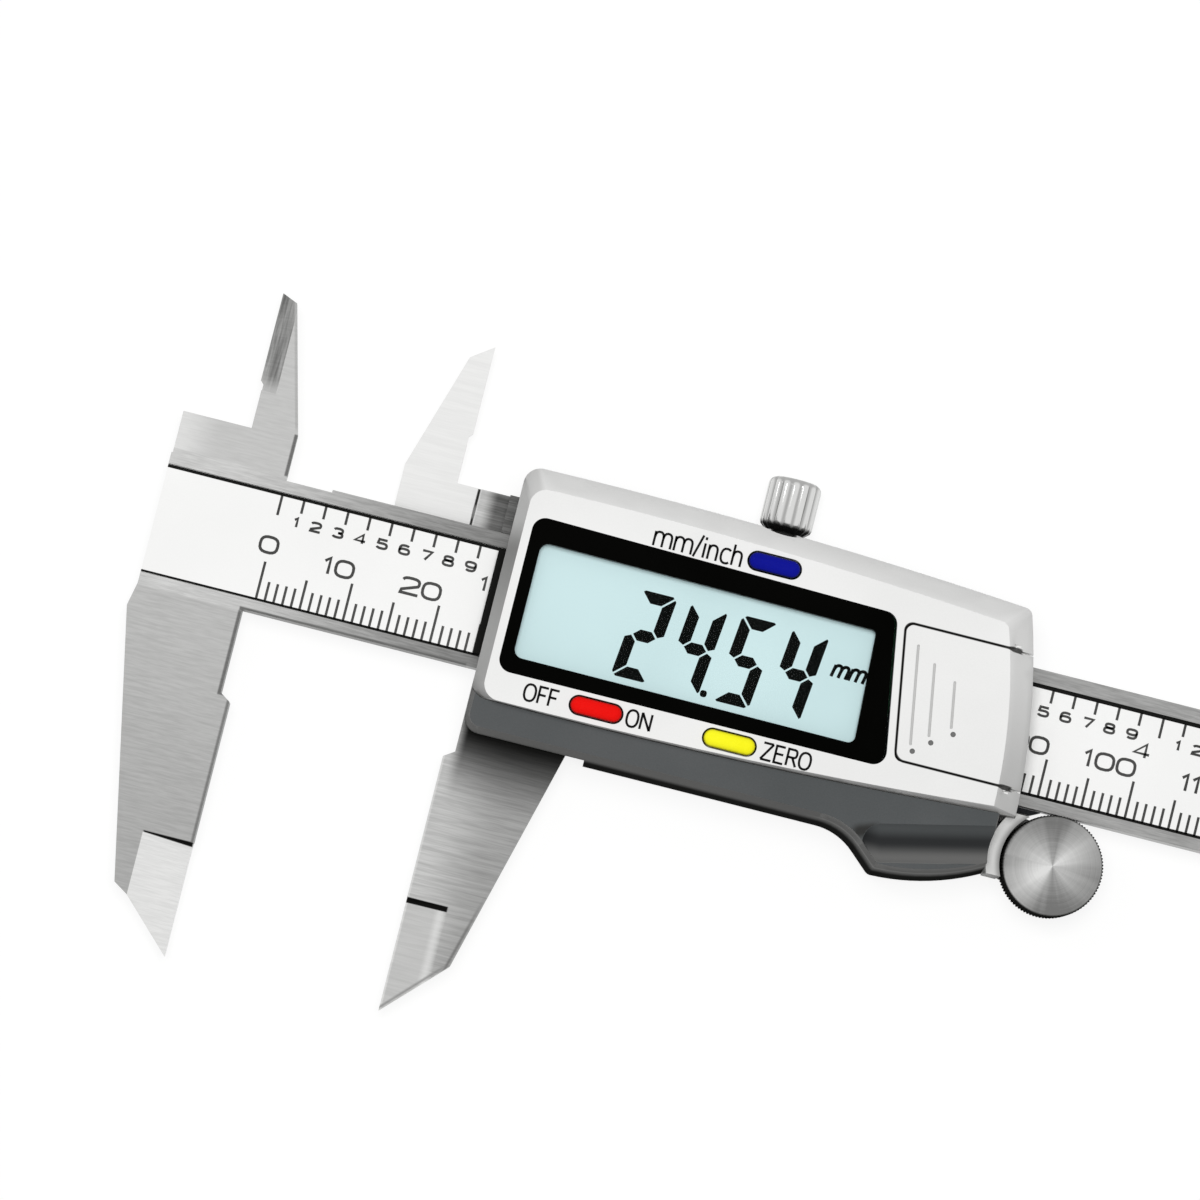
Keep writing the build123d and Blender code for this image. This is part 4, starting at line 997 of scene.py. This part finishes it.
# %% Letters
stem = [(0.06, 0), (0.06, 1)]
arch = oval(0.27, 0.44, 0.2, 0.26, 180, 0, 0.85) + [(0.47, 0)]
LETTERS = {
    "O": (0.86, [oval(0.4, 0.5, 0.34, 0.5, square=0.85)]),
    "F": (0.66, [[(0.08, 0), (0.08, 1), (0.58, 1)], [(0.08, 0.52), (0.5, 0.52)]]),
    "N": (0.82, [[(0.08, 0), (0.08, 1)], [(0.08, 1), (0.66, 0)], [(0.66, 0), (0.66, 1)]]),
    "Z": (0.76, [[(0.06, 1), (0.66, 1)], [(0.66, 1), (0.04, 0)], [(0.04, 0), (0.68, 0)]]),
    "E": (0.74, [[(0.62, 1), (0.1, 1), (0.1, 0), (0.64, 0)], [(0.1, 0.53), (0.58, 0.53)]]),
    "R": (
        0.78,
        [
            [(0.1, 0), (0.1, 1), (0.42, 1)] + oval(0.42, 0.76, 0.22, 0.24, 80, -90) + [(0.1, 0.52)],
            [(0.4, 0.52), (0.68, 0)],
        ],
    ),
    "m": (1.0, [[(0.06, 0), (0.06, 0.7)], arch, [(x + 0.41, y) for x, y in arch]]),
    "n": (0.6, [[(0.06, 0), (0.06, 0.7)], arch]),
    "h": (0.6, [stem, arch]),
    "i": (0.22, [[(0.06, 0), (0.06, 0.7)], [(0.06, 0.86), (0.06, 1)]]),
    "c": (0.58, [oval(0.32, 0.35, 0.25, 0.35, 50, 310, 0.85)]),
    "/": (0.42, [[(0.02, -0.05), (0.32, 1.05)]]),
}

lettering = Print(cover_high.z)
NIB = 0.26
for word, button, aside, height in (
    ("OFF", "power_button", -6.24, 1.85),
    ("ON", "power_button", 4.95, 1.85),
    ("ZERO", "zero_button", 6.55, 1.85),
    ("mm/inch", "unit_button", -8.6, 2.33),
):
    place = middle_mm(button)
    write(
        lettering, word, LETTERS, place.x + aside, place.y - height / 2, height, NIB, align=0.5
    )
lettering.piece("cover_lettering", "slider", line_ink, "black_plastic")

# %% [markdown]
# ## The display
#
# The figures of the display are seven segments each. The outer segments are cut at 45
# degrees where they meet, the middle one is pointed at both ends, and a hair of glass
# stays between them. Their sharp tips are cut off, as etched glass never keeps them.
# One function gives the outlines of all seven, named a to g as electricians name them,
# and a table says which of them each figure lights. The whole figure leans a little,
# which is one more shift along X for each step up.


# %% Seven segments
TIP = 0.35


def segments(width, height, thick, gap):
    """Outlines of the seven segments of an upright figure."""
    half, hair, tip = height / 2, gap / 2, TIP
    upper_left = [
        (0, height - hair - tip), (tip / 2, height - hair - tip / 2),
        (thick, height - thick - hair), (thick, half + thick / 2 + hair),
        (thick / 2, half + hair), (0, half + hair + thick / 4),
    ]
    top = [
        (hair + tip / 2, height - tip / 2), (hair + tip, height),
        (width - hair - tip, height), (width - hair - tip / 2, height - tip / 2),
        (width - thick - hair, height - thick), (thick + hair, height - thick),
    ]
    bar = [
        (thick / 2 + hair, half), (thick + hair, half + thick / 2),
        (width - thick - hair, half + thick / 2), (width - thick / 2 - hair, half),
        (width - thick - hair, half - thick / 2), (thick + hair, half - thick / 2),
    ]

    def turned_over(outline):
        return [(x, height - y) for x, y in outline]

    def swapped(outline):
        return [(width - x, y) for x, y in outline]

    return {
        "a": top, "d": turned_over(top), "g": bar,
        "f": upper_left, "b": swapped(upper_left),
        "e": turned_over(upper_left), "c": swapped(turned_over(upper_left)),
    }


LIT = {
    "0": "abcdef", "1": "bc", "2": "abged", "3": "abgcd", "4": "fgbc",
    "5": "afgcd", "6": "afgcde", "7": "abc", "8": "abcdefg", "9": "abcdfg",
}

lcd_low, lcd_high = box_mm("lcd_panel")
FIGURE_WIDTH = 4.15
FIGURE_HEIGHT = 10.0
FIGURE_PITCH = 5.79
SEGMENT = 1.3
LEAN = math.tan(math.radians(6))
FIGURES_IN, FIGURES_UP = 11.5, 1.75
first_x = lcd_low.x + FIGURES_IN
foot_y = lcd_low.y + FIGURES_UP

figures = Print(lcd_high.z)
outlines = segments(FIGURE_WIDTH, FIGURE_HEIGHT, SEGMENT, 0.3)
x = first_x
for sign in f"{reading:.2f}":
    if sign == ".":
        dot_x = x - FIGURE_PITCH + FIGURE_WIDTH + 0.55
        figures.plate([(dot_x + dx, foot_y + 0.45 + dy) for dx, dy in oval(0, 0, 0.38, 0.38)[:-1]])
        continue
    for segment in LIT[sign]:
        figures.plate([(x + dx + dy * LEAN, foot_y + dy) for dx, dy in outlines[segment]])
    x += FIGURE_PITCH
figures.piece("display_figures", "slider", segment_ink, "black_plastic")

# %% [markdown]
# The unit stands small at the right end of the figures. It is written with the same
# letters as the cover's lettering, and leans more than the figures do.

# %% The unit
UNIT_LEAN = 0.2
unit = Print(lcd_high.z)
leaning = {
    sign: (advance, [[(px + py * UNIT_LEAN, py) for px, py in path] for path in paths])
    for sign, (advance, paths) in LETTERS.items()
}
write(unit, "mm", leaning, lcd_high.x - 4.5, foot_y + 5.8, 1.95, 0.36)
unit.piece("display_unit", "slider", segment_ink, "black_plastic")

# %% [markdown]
# ## The black border of the window
#
# The clear window is printed black round its edge, and only the middle lets the
# display be seen. Here the border is a ring of its own, as deep as the acrylic, so
# that its inner wall throws the slight shadow that a real display has along its edge.
# The outer outline follows the window: its top edge falls a little and its right end
# leans like the battery cover. Both outlines get their corners from one function, with
# equally many points, so that a band of faces can join them.


# %% Window border
ROUND_STEPS = 8


def rounded(corners, radii, steps=ROUND_STEPS):
    """Outline of a polygon with rounded corners, each with the same number of points."""
    outline = []
    for index, corner in enumerate(corners):
        corner = Vector(corner)
        before = (Vector(corners[index - 1]) - corner).normalized()
        after = (Vector(corners[(index + 1) % len(corners)]) - corner).normalized()
        half = before.angle(after) / 2
        centre = corner + (before + after).normalized() * radii[index] / math.sin(half)
        start = corner + before * radii[index] / math.tan(half) - centre
        sweep = math.pi - 2 * half
        turn = math.copysign(sweep, before.x * after.y - before.y * after.x) * -1
        for step in range(steps + 1):
            outline.append(centre + Matrix.Rotation(turn * step / steps, 2) @ start)
    return outline


window_low, window_high = box_mm("display_window")
BORDER_PROUD = 0.01
TOP_FALL = 0.8
border_height = window_high.y - window_low.y
outer = rounded(
    [
        (window_low.x - BORDER_PROUD, window_low.y - BORDER_PROUD),
        (window_high.x + BORDER_PROUD, window_low.y - BORDER_PROUD),
        (
            window_high.x + BORDER_PROUD - (border_height - TOP_FALL) * COVER_LEAN,
            window_high.y - TOP_FALL + BORDER_PROUD,
        ),
        (window_low.x - BORDER_PROUD, window_high.y + BORDER_PROUD),
    ],
    [1.5] * 4,
)
inner = rounded(
    [
        (lcd_low.x + 0.55, lcd_low.y + 0.95),
        (lcd_high.x - 0.15, lcd_low.y + 0.8),
        (lcd_high.x - 0.75, lcd_high.y - 1.25),
        (lcd_low.x + 0.55, lcd_high.y - 0.8),
    ],
    [1.0, 0.8, 0.5, 1.0],
)
border = Print(window_high.z)
border.bottom = window_low.z
border.top = window_high.z + BORDER_PROUD
border.band(outer, inner, closed=True)
border.piece("display_border", "slider", border_black, "black_plastic")

# %% [markdown]
# The seam round the battery cover is two tenths of a millimetre wide. Light rarely
# finds its way down there, and a strip of black at its bottom makes sure of it.

# %% Seam of the battery cover
SEAM = 0.2
SEAM_DEPTH = 0.3
COVER_RIGHT = 58.7


def cover_end_x(y, at_middle):
    """A place on one of the battery cover's leaning ends."""
    return reading + at_middle - y * COVER_LEAN


seam = Print(cover_high.z - SEAM_DEPTH)
corners = [
    (cover_end_x(y, at_middle), y)
    for y, at_middle in (
        (SEAM_TOP, COVER_LEFT), (SEAM_FOOT, COVER_LEFT),
        (SEAM_FOOT, COVER_RIGHT), (SEAM_TOP, COVER_RIGHT),
    )
]
left_end = rounded(corners, [COVER_CORNER] * 4)[:2 * (ROUND_STEPS + 1)]
seam.stroke([corners[3], *left_end, corners[2]], SEAM)
seam.piece("cover_seam", "slider", line_ink, "black_plastic")

# %% [markdown]
# ## Buttons
#
# The three buttons are small pills with a domed top. A stack of outlines makes them:
# each is the pill's outline, drawn in a little more than the one below, on a quarter
# of an ellipse. They stand for the plainer CAD solids, which stay behind for the
# collision model.

# %% Domed buttons
BUTTON = (6.0, 2.1)
BUTTON_GAP = 0.08
DOME_IN = 0.8
DOME_HIGH = 0.55
DOME_STEPS = 8
BUTTON_SUNK = 2.0


def pill(centre, inset, steps=12):
    """Outline of a pill, drawn in by an inset."""
    radius = BUTTON[1] / 2 - inset
    reach = (BUTTON[0] - BUTTON[1]) / 2
    outline = []
    for side, start in ((1, -90), (-1, 90)):
        for step in range(steps + 1):
            angle = math.radians(start + 180 * step / steps)
            outline.append(
                (
                    centre.x + side * reach + radius * math.cos(angle),
                    centre.y + radius * math.sin(angle),
                )
            )
    return outline


def stacked(rings):
    """Points and faces of a closed form through rings with equally many points."""
    count = len(rings[0])
    points = [point for ring in rings for point in ring]
    faces = [tuple(range(count)), tuple(range(len(points) - count, len(points)))]
    for row in range(len(rings) - 1):
        for here in range(count):
            after = (here + 1) % count
            low, high = row * count, (row + 1) * count
            faces.append((low + here, low + after, high + after, high + here))
    return points, faces


def domed_button(node, finish, slot):
    """A button that stands for its CAD node."""
    low, high = box_mm(node)
    centre = (low + high) / 2
    levels = [(BUTTON_GAP, cover_high.z - BUTTON_SUNK)]
    for step in range(DOME_STEPS + 1):
        turn = math.radians(90 * step / DOME_STEPS)
        levels.append(
            (
                BUTTON_GAP + DOME_IN * (1 - math.cos(turn)),
                high.z - DOME_HIGH * (1 - math.sin(turn)),
            )
        )
    rings = [[(x, y, z) for x, y in pill(centre, inset)] for inset, z in levels]
    cap = add_piece(node + "_cap", *stacked(rings), node, finish, slot)
    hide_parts(node)


for node, finish, slot in (
    ("unit_button", blue_gloss, "blue_plastic"),
    ("power_button", red_gloss, "red_plastic"),
    ("zero_button", yellow_gloss, "yellow_plastic"),
):
    domed_button(node, finish, slot)

# %% [markdown]
# ## Turned and fluted parts
#
# The lock screw's knob and the thumb roller come from a lathe and are then fluted or
# knurled. Both are a profile, spun round an axis, whose radius dips with the angle. A
# raised cosine gives flutes with round ridges. The profile says how far from the axis
# it runs, how high, and how much of the flute's depth is left there, so that flutes
# can run out into a rounded edge.


# %% Spin a profile
def spun(profile, flutes, depth, steps_per_flute, at):
    """Points and faces of a fluted turned form; at(radius, angle, height) places a point."""
    count = flutes * steps_per_flute
    points, rows = [], []
    for radius, height, share in profile:
        if radius == 0:
            rows.append([len(points)] * count)
            points.append(at(0, 0, height))
            continue
        rows.append(range(len(points), len(points) + count))
        for step in range(count):
            dip = 0.5 - 0.5 * math.cos(2 * math.pi * (step % steps_per_flute) / steps_per_flute)
            angle = 2 * math.pi * step / count
            points.append(at(radius - depth * share * dip ** 2, angle, height))
    faces = []
    for low, high in zip(rows, rows[1:]):
        for here in range(count):
            after = (here + 1) % count
            corners = (low[here], low[after], high[after], high[here])
            faces.append(tuple(dict.fromkeys(corners)))
    return points, faces


def arc_profile(radius, height, bend, share, flip=1, steps=6):
    """A rounded edge of a profile, from the rim inwards."""
    return [
        (
            radius - bend * (1 - math.cos(math.radians(90 * step / steps))),
            height + flip * bend * math.sin(math.radians(90 * step / steps)),
            share * (1 - step / steps),
        )
        for step in range(steps + 1)
    ]


# %% [markdown]
# ### The lock screw
#
# The knob is bright chrome. Its flutes get a painted shade, so the finish measures the
# distance from the screw's axis and darkens what lies deeper than the ridges. The
# underside is painted dark, as shade.

# %% Lock knob
KNOB_R = 3.0
KNOB_HEIGHT = 6.1
SHANK_R = 1.5
KNOB_FLUTE = 0.24
KNOB_FLUTES, KNOB_STEPS = 16, 12

screw_low, screw_high = box_mm("lock_screw")
screw_axis = middle_mm("lock_screw")
knob_foot = screw_high.y - KNOB_HEIGHT

knob_chrome, knob_shader, knob_start = new_finish("knob_chrome", Metallic=1.0, Roughness=0.16)
knob_place = place_on(knob_start)
off_x = along_axis(knob_place, "X") - screw_axis.x
off_z = along_axis(knob_place, "Z") - screw_axis.z
from_axis = from_centre(off_x, off_z)
# painted shade in the flutes and on the underside
depth_in_flute = soft_step(from_axis, KNOB_R - KNOB_FLUTE, KNOB_R - 0.04)
up_knob = soft_step(along_axis(knob_place, "Y"), knob_foot + 0.5, knob_foot + 1.1)
polished = blend(depth_in_flute, 170, 216)
plug(knob_shader.inputs["Base Color"], blend(up_knob, 40, polished))

knob_profile = [
    (0, screw_low.y, 0),
    (SHANK_R, screw_low.y, 0),
    (SHANK_R, knob_foot, 0),
    (KNOB_R - 0.8, knob_foot, 0),
    (KNOB_R - 0.15, knob_foot + 0.55, 0.6),
    (KNOB_R, knob_foot + 0.95, 1),
    (KNOB_R, knob_foot + 3.0, 1),
    *arc_profile(KNOB_R, screw_high.y - 0.9, 0.9, 1),
    (KNOB_R - 1.4, screw_high.y - 0.12, 0),
    (0, screw_high.y - 0.12, 0),
]


def round_screw(radius, angle, height):
    """A point round the lock screw's axis."""
    return (
        screw_axis.x + radius * math.cos(angle), height, screw_axis.z + radius * math.sin(angle)
    )


knob = add_piece(
    "lock_knob", *spun(knob_profile, KNOB_FLUTES, KNOB_FLUTE, KNOB_STEPS, round_screw),
    "lock_screw", knob_chrome, "polished_steel",
)
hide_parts("lock_screw")

# %% [markdown]
# ### The thumb roller
#
# The face of the roller is turned, and its fine rings throw the light into bright
# fans. Real fans would need one ring every few hundredths of a millimetre, so the
# finish draws them as painted highlights. A cosine of twice the angle round the axis
# makes two fans, one of four times the angle sharpens them, noise breaks them into rays,
# and they fade outwards. The face is painted darker outwards and towards its right. The
# knurled rim is painted nearly black, as the shade between its teeth.

# %% Roller finish
ROLLER_TEETH, ROLLER_STEPS = 96, 6
ROLLER_TOOTH = 0.14
FAN_TURN, FINE_FAN_TURN = -0.95, 2.67
roller_low, roller_high = box_mm("thumb_roller")
roller_axis = middle_mm("thumb_roller")
ROLLER_R = (roller_high.x - roller_low.x) / 2

turned_steel, turned_shader, turned_start = new_finish(
    "turned_steel", Metallic=1.0, Specular_IOR_Level=0.0
)
turned_place = place_on(turned_start)
east = along_axis(turned_place, "X") - roller_axis.x
north = along_axis(turned_place, "Y") - roller_axis.y
radius = from_centre(east, north)
angle = north.math("ARCTAN2", north, east)
ring_place = radius.node("CombineXYZ", inputs={0: radius * MM, 1: angle * (0.25 * MM)})
rings = noise(ring_place, (7.0, 0.6, 1.0), detail=4.0)
ray_place = radius.node("CombineXYZ", inputs={0: angle * MM, 1: radius * (0.1 * MM)})
rays = noise(ray_place, (4.0, 1.0, 1.0))
two_fans = (2 * angle + FAN_TURN).cosine()
four_fans = (4 * angle + FINE_FAN_TURN).cosine()
outwards = soft_step(radius, 0.0, ROLLER_R)
fans = (0.3 * two_fans + 0.15 * four_fans) * (1 - 0.35 * outwards)
# painted shade: darker outwards and towards the right
leftwards = angle.cosine() * (0.07 * outwards - 0.14)
tone = fans + leftwards + 0.7 - 0.5 * outwards + 0.4 * (rays - 0.5) + 0.3 * (rings - 0.5)
# painted shade on the knurled rim
rim = soft_step(radius, ROLLER_R - 0.32, ROLLER_R - 0.1)
turned_face = blend(tone, 118, 222)
plug(turned_shader.inputs["Base Color"], blend(rim, turned_face, 44))
plug(turned_shader.inputs["Metallic"], 1 - rim)
plug(turned_shader.inputs["Roughness"], 0.3 + 0.12 * rings)
plug(turned_shader.inputs["Normal"], bump(rings, 0.01))
print(f"roller of {2 * ROLLER_R:.1f} mm")

# %% [markdown]
# The bracket reaches round the roller and lies in its shade: the nearer to the rim, the
# darker its lacquer.

# %% Lacquer of the bracket
def bracket_regions(place):
    """The bracket's shade beside the roller."""
    off_x = along_axis(place, "X") - roller_axis.x
    off_y = along_axis(place, "Y") - roller_axis.y
    apart = from_centre(off_x, off_y)
    shade = fade(apart, ROLLER_R + 0.2, ROLLER_R + 1.1)
    return [(shade, 136, 146)]


bracket_lacquer = plastic(
    "bracket_lacquer", grey(208), grey(216), 0.34, 0.002, gloss=0.01, regions=bracket_regions
)
nodes["roller_bracket"].data.materials[0] = bracket_lacquer
print("finishes:", len(bpy.data.materials))

# %% [markdown]
# The roller's body is a profile again. Its bore is left open at the back for the axle,
# and the face is dished a little, as it is turned from the middle outwards.

# %% Roller mesh
AXLE_R = 1.25
BORE_END = roller_high.z - 1.4
roller_profile = [
    (AXLE_R + 0.05, BORE_END, 0),
    (AXLE_R + 0.05, roller_low.z, 0),
    (ROLLER_R - 0.4, roller_low.z, 0),
    (ROLLER_R, roller_low.z + 0.35, 1),
    (ROLLER_R, roller_high.z - 0.4, 1),
    (ROLLER_R - 0.12, roller_high.z - 0.12, 0.5),
    (ROLLER_R - 0.4, roller_high.z, 0),
    (ROLLER_R - 0.8, roller_high.z, 0),
    (ROLLER_R - 1.1, roller_high.z - 0.04, 0),
    (ROLLER_R / 2, roller_high.z - 0.08, 0),
    (0, roller_high.z - 0.12, 0),
]


def round_roller(radius, angle, height):
    """A point round the roller's axis."""
    return (
        roller_axis.x + radius * math.cos(angle), roller_axis.y + radius * math.sin(angle), height
    )


roller_points, roller_faces = spun(
    roller_profile, ROLLER_TEETH, ROLLER_TOOTH, ROLLER_STEPS, round_roller
)
roller_faces.append(tuple(range(ROLLER_TEETH * ROLLER_STEPS)))
roller = add_piece(
    "knurled_roller", roller_points, roller_faces, "thumb_roller", turned_steel, "polished_steel"
)
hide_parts("thumb_roller")

# %% [markdown]
# ## The stage
#
# The caliper lies on a pale floor. The floor is white to the camera and keeps a soft
# shadow. To the light it is darker, as a floor far below a glass table would be, so
# that it throws little light back at the sides. It is open when it is seen from below,
# so that the back of the caliper can be looked at as well.

# %% Floor
floor_z = cad_box[0].z / MM - 0.02
FLOOR_HALF = 1500.0
floor_mesh = bpy.data.meshes.new("floor")
signs = ((-1, -1), (1, -1), (1, 1), (-1, 1))
floor_corners = [Vector((x * FLOOR_HALF, y * FLOOR_HALF, floor_z)) * MM for x, y in signs]
floor_mesh.from_pydata(floor_corners, [], [(0, 1, 2, 3)])
floor = bpy.data.objects.new("floor", floor_mesh)
bpy.context.scene.collection.objects.link(floor)

floor_paint, floor_shader, floor_start = new_finish("floor_paint", Roughness=0.9)
plug(floor_shader.inputs["Specular IOR Level"], 0.0)
camera_ray = floor_start.node("LightPath", output="Is Camera Ray")
glossy_ray = floor_start.node("LightPath", output="Is Glossy Ray")
seen_ray = camera_ray.larger(glossy_ray)
plug(floor_shader.inputs["Base Color"], blend(seen_ray, 120, 240))
white = floor_start.node("Emission", inputs={"Color": (1, 1, 1, 1), "Strength": 1.05})
painted = Wire(floor_paint.node_tree, floor_shader.outputs[0])
lit = floor_start.node("MixShader", inputs={0: seen_ray * 0.8, 1: painted, 2: white})
below = floor_start.node("NewGeometry", output="Backfacing")
clear = floor_start.node("BsdfTransparent")
both = floor_start.node("MixShader", inputs={0: below, 1: lit, 2: clear})
plug(floor_paint.node_tree.nodes["Material Output"].inputs["Surface"], both)
floor_mesh.materials.append(floor_paint)
print(f"floor at {floor_z:.2f} mm")

# %% [markdown]
# The world is a white studio. Its light on the object is kept low, so that faces that
# lean away from the lamp turn darker, while the camera and every mirror see it white.

# %% World
world = bpy.data.worlds.new("studio")
bpy.context.scene.world = world
world.use_nodes = True
world_start = Wire(world.node_tree)
seen = [
    world_start.node("LightPath", output=f"Is {kind} Ray")
    for kind in ("Camera", "Glossy", "Transmission")
]
any_seen = seen[0].larger(seen[1].larger(seen[2]))
AMBIENT = 0.28
background = world.node_tree.nodes["Background"]
plug(background.inputs["Color"], (1, 1, 1, 1))
plug(background.inputs["Strength"], AMBIENT + (1 - AMBIENT) * any_seen)
print("ambient light:", AMBIENT)

# %% [markdown]
# One large soft box hangs overhead, a little towards the top of the picture. It lights
# the fronts fully, leaves the sides darker and throws a soft shadow downwards. The flat
# steel would mirror it as one glaring patch, so it is hidden from mirrors, and a small,
# weak lamp beside it gives the buttons and the knob their points of light.


# %% Lamps
def soft_box(name, place, aim, size, power, mirrored):
    """A square area lamp that looks at a point; metal shows it only when mirrored."""
    data = bpy.data.lights.new(name, "AREA")
    data.size = size * MM
    data.energy = power
    lamp = bpy.data.objects.new(name, data)
    lamp.location = Vector(place) * MM
    lamp.rotation_euler = (Vector(aim) - Vector(place)).to_track_quat("-Z", "Y").to_euler()
    lamp.visible_glossy = mirrored
    bpy.context.scene.collection.objects.link(lamp)


aim = (45, -5, 0)
soft_box("key", (20, 60, 850), aim, 400, 5.3, False)
soft_box("sparkle", (-260, 160, 500), aim, 90, 0.12, True)
print("lamps:", len(bpy.data.lights))

# %% [markdown]
# ## The camera
#
# The caliper is seen from almost straight above through a long lens, turned so that
# the beam runs downhill to the right. A camera looks along its own -Z with Y up, so
# three directions make its rotation: back along the view, to the right, and up.

# %% Camera
CAMERA_PLACE = Vector((32.67, -58.07, 764.32))
CAMERA_AIM = Vector((37.25, 3.09, 3.8))
CAMERA_TURN = math.radians(14.14)
LENS = 205.0

camera_data = bpy.data.cameras.new("camera")
camera_data.lens = LENS
camera = bpy.data.objects.new("camera", camera_data)
bpy.context.scene.collection.objects.link(camera)
back = (CAMERA_PLACE - CAMERA_AIM).normalized()
uphill = Vector((-math.sin(CAMERA_TURN), math.cos(CAMERA_TURN), 0))
right = uphill.cross(back).normalized()
up = back.cross(right)
turned = Matrix((right, up, back)).transposed().to_4x4()
camera.matrix_world = Matrix.Translation(CAMERA_PLACE * MM) @ turned
bpy.context.scene.camera = camera
bpy.context.scene.view_settings.view_transform = "Standard"
print(f"camera {(CAMERA_PLACE - CAMERA_AIM).length:.0f} mm away")
